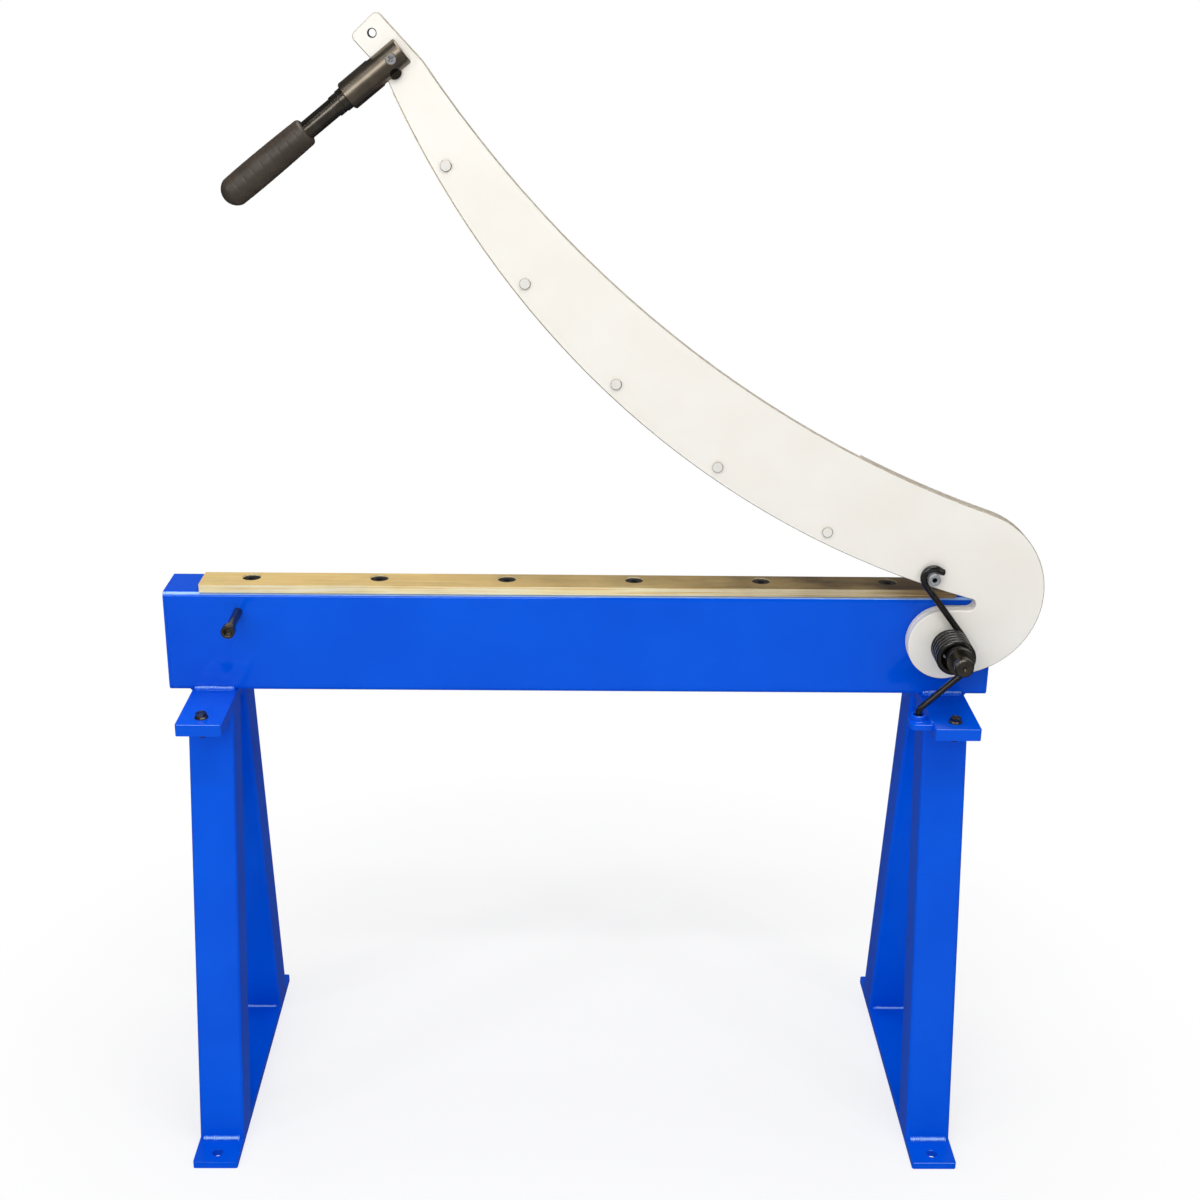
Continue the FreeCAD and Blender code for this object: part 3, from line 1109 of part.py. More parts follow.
def make_grip():
    """The moulded grip: a turned profile with fine grooves, a rounded mouth and a domed end."""
    owner = body("handle_grip")
    profile = sketch(owner, "XZ_Plane")
    bore = dim("rod_diameter") / 2
    start = dim("grip_start")
    finish = start + dim("grip_length")
    bore_end = dim("slot_depth") + dim("rod_length")
    lip = dim("grip_lip")
    corner = lip * (1 - math.sqrt(0.5))
    mouth = grip_radius(lip)
    half = dim("grip_groove_width") / 2
    edges = [[(bore, start), (mouth - lip, start)],
             [(mouth - lip, start), (mouth - corner, start + corner), (mouth, start + lip)]]
    at = (mouth, start + lip)
    for number in range(int(dim("grip_groove_count"))):
        middle = dim("grip_groove_first") + dim("grip_groove_pitch") * number
        near = (grip_radius(middle - half), start + middle - half)
        deep = (grip_radius(middle) - dim("grip_groove"), start + middle)
        far = (grip_radius(middle + half), start + middle + half)
        edges += [[at, near], [near, deep], [deep, far]]
        at = far
    shoulder = (grip_radius(dim("grip_length") - dim("grip_dome")), finish - dim("grip_dome"))
    dome = (shoulder[0] ** 2 + dim("grip_dome") ** 2) / (2 * dim("grip_dome"))
    dome_mid = shoulder[0] / 2
    dome_z = finish - dome + math.sqrt(dome ** 2 - dome_mid ** 2)
    edges += [[at, shoulder],
              [shoulder, (dome_mid, dome_z), (0, finish)],
              [(0, finish), (0, bore_end)],
              [(0, bore_end), (bore, bore_end)],
              [(bore, bore_end), (bore, start)]]
    draw(profile, edges)
    turned = owner.newObject("PartDesign::Revolution", "grip_turned")
    turned.Profile = profile
    turned.ReferenceAxis = (profile, ["V_Axis"])
    turned.Angle = 360
    return lay(owner)


def make_arm_bush():
    at = ("places.pivot_x", "places.pad_back_y", "places.pivot_z")
    return ring("arm_bush", at, "dims.bush_diameter / 2", "dims.shaft_diameter / 2 + dims.bush_clearance",
                "places.pad_back_y - places.arm_face_y", "near")


# The whole machine, each piece in its own node
pieces = [make_beam(),
          make_end_cap("beam_end_cap_left", "places.beam_left_x"),
          make_end_cap("beam_end_cap_right", "-places.beam_left_x - dims.end_cap_thickness"),
          make_backing_bar(), make_lower_blade(), make_blade_screws(),
          make_foot_plate("foot_plate_left", STAND_XS[0]), make_foot_plate("foot_plate_right", STAND_XS[1])]
pieces += make_stand("stand_left", STAND_XS[0]) + make_stand("stand_right", STAND_XS[1])
pieces += make_stand_fasteners() + make_stop_bolt() + make_pivot()
pieces += [make_spring(), make_eyelet()]
pieces += [make_arm_plate(), make_arm_backing(), make_arm_bush(), make_upper_blade(),
           make_edge_screws(), make_hook_bolt(), make_socket()]
pieces += make_cross_screw() + [make_rod(), make_ferrule(), make_grip()]
doc.recompute()

for item in doc.Objects:
    wrong = [state for state in item.State if state in ("Invalid", "Error")]
    if wrong:
        raise RuntimeError("%s is %s" % (item.Name, wrong))
for piece in pieces:
    if piece.Shape.isNull() or not piece.Shape.isValid():
        raise RuntimeError(piece.Label + " has no valid shape")

os.makedirs("parts", exist_ok=True)
for piece in pieces:
    piece.Shape.exportStep(os.path.join("parts", piece.Label + ".step"))
print(len(pieces), "nodes written")
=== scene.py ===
import json
import math

import bpy
import bmesh
import numpy as np
from mathutils import Matrix, Vector


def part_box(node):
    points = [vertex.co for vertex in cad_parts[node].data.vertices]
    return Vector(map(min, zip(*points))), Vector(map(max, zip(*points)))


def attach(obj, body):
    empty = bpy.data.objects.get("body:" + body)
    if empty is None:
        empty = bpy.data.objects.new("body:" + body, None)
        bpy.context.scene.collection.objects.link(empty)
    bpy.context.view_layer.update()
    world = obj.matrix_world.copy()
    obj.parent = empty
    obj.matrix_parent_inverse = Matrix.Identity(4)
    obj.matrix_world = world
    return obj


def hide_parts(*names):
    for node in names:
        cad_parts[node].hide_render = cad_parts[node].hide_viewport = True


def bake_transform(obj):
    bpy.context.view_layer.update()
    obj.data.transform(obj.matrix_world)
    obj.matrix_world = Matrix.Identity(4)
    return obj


# Hand guillotine shear on two A-frame stands, seen from its back, with the arm raised
# X runs along the bed, the arm swings on the -Y side, Z is up from the floor, in metres
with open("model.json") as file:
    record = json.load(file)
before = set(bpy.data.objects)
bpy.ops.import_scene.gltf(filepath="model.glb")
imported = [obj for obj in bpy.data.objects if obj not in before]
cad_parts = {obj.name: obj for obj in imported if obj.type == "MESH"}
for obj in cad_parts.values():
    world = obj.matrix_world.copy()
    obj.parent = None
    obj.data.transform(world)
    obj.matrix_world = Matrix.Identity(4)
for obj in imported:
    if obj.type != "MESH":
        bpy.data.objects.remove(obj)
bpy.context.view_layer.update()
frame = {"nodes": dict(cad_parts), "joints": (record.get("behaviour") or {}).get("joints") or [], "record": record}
mm = 0.001


# Plain helpers
def hexColour(code, alpha=1.0):  # sRGB hex to linear
    parts = [int(code[i:i + 2], 16) / 255 for i in (1, 3, 5)]
    linear = [c / 12.92 if c <= 0.04045 else ((c + 0.055) / 1.055) ** 2.4 for c in parts]
    return (*linear, alpha)


def addNode(tree, kind, settings=None, inputs=None):  # adds a node, sets it up and links its inputs
    node = tree.nodes.new(kind)
    for name, value in (settings or {}).items():
        setattr(node, name, value)
    for key, value in (inputs or {}).items():
        socket = node.inputs[key]
        if isinstance(value, bpy.types.NodeSocket):
            tree.links.new(value, socket)
        else:
            socket.default_value = value
    return node


def newMaterial(name):
    material = bpy.data.materials.new(name)
    material.use_nodes = True
    tree = material.node_tree
    tree.nodes.clear()
    shader = addNode(tree, "ShaderNodeBsdfPrincipled")
    out = addNode(tree, "ShaderNodeOutputMaterial", inputs={"Surface": shader.outputs[0]})
    place = addNode(tree, "ShaderNodeTexCoord").outputs["Object"]
    return material, tree, shader, out, place


def ramp(tree, factor, stops):  # stops are (place, linear colour or grey number)
    node = addNode(tree, "ShaderNodeValToRGB", inputs={"Fac": factor})
    band = node.color_ramp
    while len(band.elements) < len(stops):
        band.elements.new(0.5)
    for element, (place, colour) in zip(band.elements, stops):
        element.position = place
        element.color = colour if isinstance(colour, tuple) else (colour, colour, colour, 1)
    return node.outputs["Color"]


def noise(tree, place, size, detail=3, stretch=(1, 1, 1), roughness=0.5):  # size of one patch in metres
    mapped = addNode(tree, "ShaderNodeMapping", inputs={"Vector": place, "Scale": stretch}).outputs[0]
    return addNode(tree, "ShaderNodeTexNoise", inputs={
        "Vector": mapped, "Scale": 1 / size, "Detail": detail, "Roughness": roughness}).outputs["Fac"]


def bump(tree, height, distance, strength=1.0, normal=None):
    inputs = {"Height": height, "Distance": distance, "Strength": strength}
    if normal is not None:
        inputs["Normal"] = normal
    return addNode(tree, "ShaderNodeBump", inputs=inputs).outputs["Normal"]


def mixColour(tree, factor, first, second):
    return addNode(tree, "ShaderNodeMix", {"data_type": "RGBA"}, {
        0: factor, 6: first, 7: second}).outputs[2]


# Masks: where a surface looks, and what it is near
def turnedTo(tree, way, low, high):  # 1 where the surface looks the given way, 0 where it looks elsewhere
    normal = addNode(tree, "ShaderNodeTexCoord").outputs["Normal"]
    share = addNode(tree, "ShaderNodeVectorMath", {"operation": "DOT_PRODUCT"}, {
        0: normal, 1: way}).outputs["Value"]
    return addNode(tree, "ShaderNodeMapRange", {"interpolation_type": "SMOOTHSTEP"}, {
        "Value": share, "From Min": low, "From Max": high}).outputs[0]


def facing(tree, axis, low, high):  # 1 where the surface looks either way along an axis, else 0
    normal = addNode(tree, "ShaderNodeTexCoord").outputs["Normal"]
    part = addNode(tree, "ShaderNodeSeparateXYZ", inputs={"Vector": normal}).outputs[axis]
    size = addNode(tree, "ShaderNodeMath", {"operation": "ABSOLUTE"}, {0: part}).outputs[0]
    return addNode(tree, "ShaderNodeMapRange", {"interpolation_type": "SMOOTHSTEP"}, {
        "Value": size, "From Min": low, "From Max": high}).outputs[0]


def nearAxis(tree, place, x, z, radius, fade=0.4 * mm):  # 1 within a radius of an axis along Y, else 0
    across = addNode(tree, "ShaderNodeVectorMath", {"operation": "MULTIPLY"}, {
        0: place, 1: (1, 0, 1)}).outputs[0]
    distance = addNode(tree, "ShaderNodeVectorMath", {"operation": "DISTANCE"}, {
        0: across, 1: (x, 0, z)}).outputs["Value"]
    return addNode(tree, "ShaderNodeMapRange", inputs={
        "Value": distance, "From Min": radius, "From Max": radius + fade,
        "To Min": 1, "To Max": 0}).outputs[0]


# Finishes
marks = {  # radii, about axes along Y, within which the colour changes, to painted light on the lobe and painted shade in the bore, key and lug; and the place of the socket's lug
    "lobeRim": 75 * mm, "tangBore": 5.4 * mm, "hookBoltKey": 3.1 * mm, "socketLug": 6.6 * mm,
    "lugFromRight": 16.9 * mm, "lugFromBottom": 39.5 * mm}


def bluePowderCoat():  # polyester powder coat, baked gloss: orange peel of about 3 mm, deep blue, with painted highlights on up-facing edges and welds
    material, tree, shader, out, place = newMaterial("bluePowderCoat")
    patches = noise(tree, place, 0.12, 2)
    coat = ramp(tree, patches, [(0.3, hexColour("#0051DB")), (0.7, hexColour("#0058E4"))])
    paintedEdgeHighlight = turnedTo(tree, (0, -0.64, 0.77), 0.95, 0.99)  # painted highlight: edges and welds facing up towards the lamps are painted light blue
    tree.links.new(mixColour(tree, paintedEdgeHighlight, coat, hexColour("#A4C8FF")), shader.inputs["Base Color"])
    coarse = bump(tree, noise(tree, place, 0.0035, 1), 0.00012, 0.3)
    tree.links.new(bump(tree, noise(tree, place, 0.0013, 1), 0.00003, 0.25, coarse), shader.inputs["Normal"])
    rough = ramp(tree, noise(tree, place, 0.03, 3), [(0.3, 0.08), (0.7, 0.13)])
    tree.links.new(rough, shader.inputs["Roughness"])
    shader.inputs["Specular IOR Level"].default_value = 0.45
    shader.inputs["Specular Tint"].default_value = hexColour("#B4D6FF")  # the highlights stay bluish
    return material


def whitePaint(name, low, high):
    # warm white machine enamel, sprayed: smooth satin, thinner and dirtier on the cut rims, which also carry
    # painted shade and, on the lobe, painted light
    material, tree, shader, out, place = newMaterial(name)
    patches = noise(tree, place, 0.09, 4)
    face = ramp(tree, patches, [(0.25, hexColour(low)), (0.75, hexColour(high))])
    grime = noise(tree, place, 0.006, 5, roughness=0.65)
    upper = ramp(tree, grime, [(0.3, hexColour("#A19584")), (0.7, hexColour("#CFC7B9"))])
    # painted shade: rim faces turned down and away from the lamps get a darker grey-brown
    lower = ramp(tree, grime, [(0.3, hexColour("#554C40")), (0.7, hexColour("#7C7264"))])
    cut = mixColour(tree, turnedTo(tree, (0.55, 0, -0.83), -0.2, 0.3), upper, lower)
    pivot = frame["joints"][0]["pos_m"]
    lobeFacingLight = addNode(tree, "ShaderNodeMath", {"operation": "MULTIPLY"}, {
        0: nearAxis(tree, place, pivot[0], pivot[2], marks["lobeRim"]),
        1: turnedTo(tree, (-0.6, 0, 0.8), -0.25, 0.15)}).outputs[0]
    rim = mixColour(tree, lobeFacingLight, cut, hexColour("#F6F1E7"))  # painted light: the lobe's rim, where it faces up towards the lamps, is painted as light as the face
    # the bevels round the face take the rim's colour too, a thin painted outline, darkest as painted shade on the
    # down-facing side
    painted = mixColour(tree, facing(tree, "Y", 0.9, 0.98), rim, face)
    hole = next(m["pos_m"] for m in frame["record"]["mounts"] if m["name"] == "tang_hole")
    bareBoreInShade = nearAxis(tree, place, hole[0], hole[2], marks["tangBore"])  # bare steel, drilled after painting, painted near black as the shade inside the bore
    shade = mixColour(tree, bareBoreInShade, painted, hexColour("#2B2723"))
    tree.links.new(shade, shader.inputs["Base Color"])
    tree.links.new(bump(tree, noise(tree, place, 0.0022, 2), 0.00006, 0.35), shader.inputs["Normal"])
    rough = ramp(tree, noise(tree, place, 0.02, 3), [(0.3, 0.34), (0.7, 0.44)])
    tree.links.new(rough, shader.inputs["Roughness"])
    shader.inputs["Specular IOR Level"].default_value = 0.35
    return material


def groundBladeSteel():  # tool steel, ground along its length; straw tint, painted near white as sheen on the near face; browner towards the pivot, partly oil and partly painted shade under the arm
    material, tree, shader, out, place = newMaterial("groundStrawSteel")
    streaks = noise(tree, place, 0.0016, 4, (0.012, 1, 1), 0.6)
    clouds = noise(tree, place, 0.07, 4, (0.6, 1, 1), 0.6)
    along = addNode(tree, "ShaderNodeSeparateXYZ", inputs={"Vector": place}).outputs["X"]

    def oilAndShadeShare(low, high):  # 0 at the free end to 1 towards the pivot, cloudy between
        share = addNode(tree, "ShaderNodeMapRange", inputs={
            "Value": along, "From Min": low, "From Max": high}).outputs[0]
        cloudy = addNode(tree, "ShaderNodeMath", {"operation": "MULTIPLY_ADD"}, {
            0: clouds, 1: 0.9, 2: -0.45}).outputs[0]
        return addNode(tree, "ShaderNodeMath", {"operation": "ADD", "use_clamp": True}, {
            0: share, 1: cloudy}).outputs[0]

    # painted sheen: the near face runs up to near white where the ground steel catches the light
    bright = ramp(tree, streaks, [(0.32, hexColour("#EFC67C")), (0.5, hexColour("#FFF0BE")),
                                  (0.66, hexColour("#FFFDEE"))])
    dull = ramp(tree, streaks, [(0.3, hexColour("#5F4A31")), (0.7, hexColour("#B09366"))])
    clean = ramp(tree, streaks, [(0.3, hexColour("#F0BE70")), (0.7, hexColour("#FFEBA8"))])
    dark = ramp(tree, streaks, [(0.3, hexColour("#2A2117")), (0.7, hexColour("#66533C"))])
    # painted shade: the top face, under the arm, darkens much sooner towards the pivot than the near face
    side = mixColour(tree, oilAndShadeShare(0.02, 0.5), bright, dull)
    top = mixColour(tree, oilAndShadeShare(-0.32, 0.42), clean, dark)
    shade = mixColour(tree, facing(tree, "Z", 0.4, 0.8), side, top)
    tree.links.new(shade, shader.inputs["Base Color"])
    shader.inputs["Metallic"].default_value = 0.25
    rough = ramp(tree, streaks, [(0.2, 0.42), (0.8, 0.28)])
    tree.links.new(rough, shader.inputs["Roughness"])
    tree.links.new(bump(tree, streaks, 0.00004, 0.5), shader.inputs["Normal"])
    return material


def blackOxide(name, low, high, metallic, roughness):
    # hot black oxide on machined steel: near black, its highlights sharp where it is oiled and dull where dry
    material, tree, shader, out, place = newMaterial(name)
    worn = noise(tree, place, 0.012, 2, roughness=0.5)
    shade = ramp(tree, worn, [(0.3, hexColour(low)), (0.75, hexColour(high))])
    tree.links.new(shade, shader.inputs["Base Color"])
    shader.inputs["Metallic"].default_value = metallic
    tree.links.new(ramp(tree, worn, [(0.3, roughness), (0.8, roughness + 0.06)]), shader.inputs["Roughness"])
    return material


def oiledForging():
    # forged and turned socket, blued and oiled: dark brown-grey with long soft highlights; its lug is painted near
    # black as the shade of the notch where the tang enters
    material, tree, shader, out, place = newMaterial("oiledForging")
    worn = noise(tree, place, 0.02, 3, roughness=0.5)
    shade = ramp(tree, worn, [(0.3, hexColour("#6E6558")), (0.75, hexColour("#80776A"))])
    low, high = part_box("handle_socket")
    lugNotchShade = nearAxis(tree, place, high[0] - marks["lugFromRight"], low[2] + marks["lugFromBottom"],
                   marks["socketLug"])
    # painted shade: near black round the lug
    tree.links.new(mixColour(tree, lugNotchShade, shade, hexColour("#2A2621")), shader.inputs["Base Color"])
    shader.inputs["Metallic"].default_value = 0.96
    tree.links.new(ramp(tree, worn, [(0.3, 0.27), (0.8, 0.32)]), shader.inputs["Roughness"])
    return material


def springLacquer():  # spring wire dipped in black lacquer: glossy, with slight runs
    material, tree, shader, out, place = newMaterial("blackSpringLacquer")
    patches = noise(tree, place, 0.01, 3)
    shade = ramp(tree, patches, [(0.3, hexColour("#0B0A09")), (0.75, hexColour("#1D1A17"))])
    tree.links.new(shade, shader.inputs["Base Color"])
    tree.links.new(ramp(tree, patches, [(0.3, 0.14), (0.7, 0.2)]), shader.inputs["Roughness"])
    shader.inputs["Specular IOR Level"].default_value = 0.6
    tree.links.new(bump(tree, noise(tree, place, 0.006, 1), 0.00004, 0.3), shader.inputs["Normal"])
    return material


def zincPlate():  # zinc-plated bolt: cool grey, finely mottled, with painted shade in its key
    material, tree, shader, out, place = newMaterial("zincPlate")
    spangle = noise(tree, place, 0.0015, 4)
    plated = ramp(tree, spangle, [(0.3, hexColour("#9DA1A6")), (0.7, hexColour("#D3D6D8"))])
    low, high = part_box("hook_bolt")
    key = nearAxis(tree, place, (low[0] + high[0]) / 2, (low[2] + high[2]) / 2, marks["hookBoltKey"])
    # painted shade: the hex key is painted near black
    tree.links.new(mixColour(tree, key, plated, hexColour("#1C1B1A")), shader.inputs["Base Color"])
    shader.inputs["Metallic"].default_value = 0.7
    tree.links.new(ramp(tree, spangle, [(0.3, 0.28), (0.7, 0.42)]), shader.inputs["Roughness"])
    return material


def plainSteel():  # bare mild steel, rolled and wiped: grey with rolling streaks
    material, tree, shader, out, place = newMaterial("bareMildSteel")
    streaks = noise(tree, place, 0.002, 4, (0.1, 1, 1))
    shade = ramp(tree, streaks, [(0.3, hexColour("#77787A")), (0.7, hexColour("#A3A4A6"))])
    tree.links.new(shade, shader.inputs["Base Color"])
    shader.inputs["Metallic"].default_value = 1.0
    tree.links.new(ramp(tree, streaks, [(0.3, 0.35), (0.7, 0.5)]), shader.inputs["Roughness"])
    return material


def bushBronze():  # sintered bronze bush: warm, dull and porous
    material, tree, shader, out, place = newMaterial("sinteredBronze")
    pores = noise(tree, place, 0.0007, 4)
    shade = ramp(tree, pores, [(0.3, hexColour("#7C5A2C")), (0.7, hexColour("#B08448"))])
    tree.links.new(shade, shader.inputs["Base Color"])
    shader.inputs["Metallic"].default_value = 1.0
    tree.links.new(ramp(tree, pores, [(0.3, 0.5), (0.7, 0.36)]), shader.inputs["Roughness"])
    tree.links.new(bump(tree, pores, 0.00004, 0.5), shader.inputs["Normal"])
    return material


def gripRubber():  # moulded nitrile rubber: satin, brownish black, lightly dusty
    material, tree, shader, out, place = newMaterial("mouldedGripRubber")
    dust = noise(tree, place, 0.02, 3, roughness=0.5)
    shade = ramp(tree, dust, [(0.3, hexColour("#372F27")), (0.75, hexColour("#453C32"))])
    tree.links.new(shade, shader.inputs["Base Color"])
    tree.links.new(ramp(tree, dust, [(0.3, 0.4), (0.8, 0.47)]), shader.inputs["Roughness"])
    return material


finishes = {
    "blue_paint": bluePowderCoat(), "white_paint": whitePaint("warmWhiteEnamel", "#EFEBE2", "#F4F1EA"),
    "blade_steel": groundBladeSteel(), "spring_black": springLacquer(), "zinc_steel": zincPlate(),
    "black_oxide": blackOxide("oiledBlackOxide", "#504B44", "#645F57", 0.94, 0.21),
    "plain_steel": plainSteel(), "bronze": bushBronze(), "grip_rubber": gripRubber()}
slotOf = {s["node"]: s["material_slot"] for s in frame["record"]["subparts"]}
finishOf = {node: finishes[slot] for node, slot in slotOf.items()}
finishOf["upper_blade_screws"] = whitePaint("enamelOverScrews", "#DCDAD4", "#E8E6E0")
finishOf["lower_blade_screws"] = blackOxide("dryBlackOxide", "#0D0C0B", "#181614", 0.0, 0.55)
finishOf["handle_socket"] = finishOf["handle_nut"] = oiledForging()
finishOf["handle_screw"] = finishes["plain_steel"]
bodyOf = {n: body for body, members in frame["record"]["behaviour"]["bodies"].items() for n in members}
for node, item in frame["nodes"].items():
    item.data.materials.clear()
    item.data.materials.append(finishOf[node])
print("finishes on", len(frame["nodes"]), "CAD nodes")


# Edges: what is cut, ground or moulded gets its edges broken, so that they catch the light
brokenEdges = {  # node: width of the rounding in millimetres; 0 only joins and smooths the mesh
    "bed_beam": 0, "stand_left_near_leg": 0, "stand_left_far_leg": 0, "stand_right_near_leg": 0,
    "stand_right_far_leg": 0, "handle_grip": 0, "handle_rod": 0, "arm_bush": 0, "pivot_tube": 0,
    "arm_plate": 1.5, "arm_backing_plate": 1.4, "upper_blade": 0.25, "lower_blade": 0.35,
    "foot_plate_left": 1.4, "foot_plate_right": 1.4,
    "stand_left_top_plate": 0, "stand_right_top_plate": 0,
    "stand_left_base_plate": 1.8, "stand_right_base_plate": 1.8,
    "beam_end_cap_left": 0.8, "beam_end_cap_right": 0.8,
    "stop_bolt": 1.0, "stand_bolts": 0.45, "stand_nuts": 0.4, "stand_washers": 0.2, "hook_bolt": 1.1,
    "handle_socket": 0.5, "handle_ferrule": 0.8, "upper_blade_screws": 1.3, "lower_blade_screws": 0.3,
    "handle_screw": 0.5, "handle_nut": 0.4, "pivot_nut": 1.0, "pivot_washer": 0.6,
    "spring_collar": 0.9, "spring_sleeve": 0.6,
    "spring_eyelet": 0.8, "thrust_washer": 0.3, "pivot_shaft": 0.4}
unclamped = ("arm_plate",)  # its curved edges have short steps, which would hold the whole rounding back
upperOnly = ("foot_plate_left", "foot_plate_right")  # their lower edges close the joint with the stands
edges = {  # angles in degrees
    "merge": 0.01 * mm, "flatAngle": 0.3, "sharpAngle": 28, "smoothAngle": 32, "segments": 3}


def breakEdges(node, width):
    mesh = frame["nodes"][node].data.copy()
    mesh.name = node + "Finished"
    work = bmesh.new()
    work.from_mesh(mesh)
    bmesh.ops.remove_doubles(work, verts=work.verts, dist=edges["merge"])
    bmesh.ops.dissolve_limit(work, angle_limit=math.radians(edges["flatAngle"]), verts=work.verts,
                             edges=work.edges)
    sharpAngle = math.radians(edges["sharpAngle"])
    sharp = [e for e in work.edges if len(e.link_faces) == 2 and e.calc_face_angle() > sharpAngle]
    if node in upperOnly:
        low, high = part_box(node)
        sharp = [e for e in sharp if min(v.co.z for v in e.verts) > (low[2] + high[2]) / 2]
    if width:
        bmesh.ops.bevel(work, geom=sharp, offset=width * mm, offset_type="OFFSET", profile=0.5,
                        segments=edges["segments"], affect="EDGES", clamp_overlap=node not in unclamped)
    work.to_mesh(mesh)
    work.free()
    mesh.shade_smooth()
    mesh.set_sharp_from_angle(angle=math.radians(edges["smoothAngle"]))
    item = bpy.data.objects.new(node + "Finished", mesh)
    bpy.context.scene.collection.objects.link(item)
    smoothing = item.modifiers.new("flatFacesStayFlat", "WEIGHTED_NORMAL")
    smoothing.keep_sharp = True
    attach(item, bodyOf[node])
    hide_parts(node)


for node, width in brokenEdges.items():
    breakEdges(node, width)
print("edges broken on", len(brokenEdges), "pieces")


# Surfaces from arrays
def gridMesh(name, points, closeAcross=True):
    # points[i, j] are rows along a path and places round it; each end is closed by its own middle
    rows, columns = points.shape[:2]
    index = np.arange(rows * columns).reshape(rows, columns)
    around = np.roll(index, -1, 1) if closeAcross else index[:, 1:]
    first = index if closeAcross else index[:, :-1]
    quads = np.stack([first[:-1], around[:-1], around[1:], first[1:]], -1).reshape(-1, 4)
    middles = [points[0].mean(0), points[-1].mean(0)]
    low = np.stack([np.full(columns, rows * columns), around[0], index[0]], -1)
    high = np.stack([np.full(columns, rows * columns + 1), index[-1], around[-1]], -1)
    mesh = bpy.data.meshes.new(name)
    vertices = np.concatenate([points.reshape(-1, 3), middles])
    mesh.from_pydata(vertices.tolist(), [], quads.tolist() + low.tolist() + high.tolist())
    mesh.validate()
    work = bmesh.new()
    work.from_mesh(mesh)
    bmesh.ops.remove_doubles(work, verts=work.verts, dist=0.002 * mm)
    bmesh.ops.recalc_face_normals(work, faces=work.faces)
    work.to_mesh(mesh)
    work.free()
    mesh.shade_smooth()
    item = bpy.data.objects.new(name, mesh)
    bpy.context.scene.collection.objects.link(item)
    return item


def unit(vectors):
    return vectors / np.linalg.norm(vectors, axis=-1, keepdims=True)


# Lift spring: the wire's path is arcs and lines worked out from the pieces that it touches
spring = {  # angles in degrees
    "wire": 8.5 * mm, "coilDiameter": 42.5 * mm, "coilShift": 2 * mm, "coilSag": 2 * mm, "turns": 5,
    "pitch": 8.8 * mm, "easeTurn": 20, "armGap": 1.5 * mm, "eyeletReach": 16.5 * mm, "legEnd": 4 * mm,
    "lowerAngle": 224, "lowerBend": 12 * mm, "upperBend": 25 * mm, "hookPass": 13.6 * mm,
    "boltHeadRadius": 8 * mm, "hookGap": 0.3 * mm, "hookLeave": 50, "tipBend": 12 * mm, "tipTurn": 35,
    "cutEndSize": 0.75, "cutEndLength": 1.2 * mm, "steps": 0.9 * mm, "around": 28}


def onCircle(centre, radius, degrees):
    turn = np.radians(degrees)
    return np.stack([centre[0] + radius * np.cos(turn), np.full_like(turn, centre[1]),
                     centre[2] + radius * np.sin(turn)], -1)


def heading(degrees):
    return np.array([math.cos(math.radians(degrees)), 0, math.sin(math.radians(degrees))])


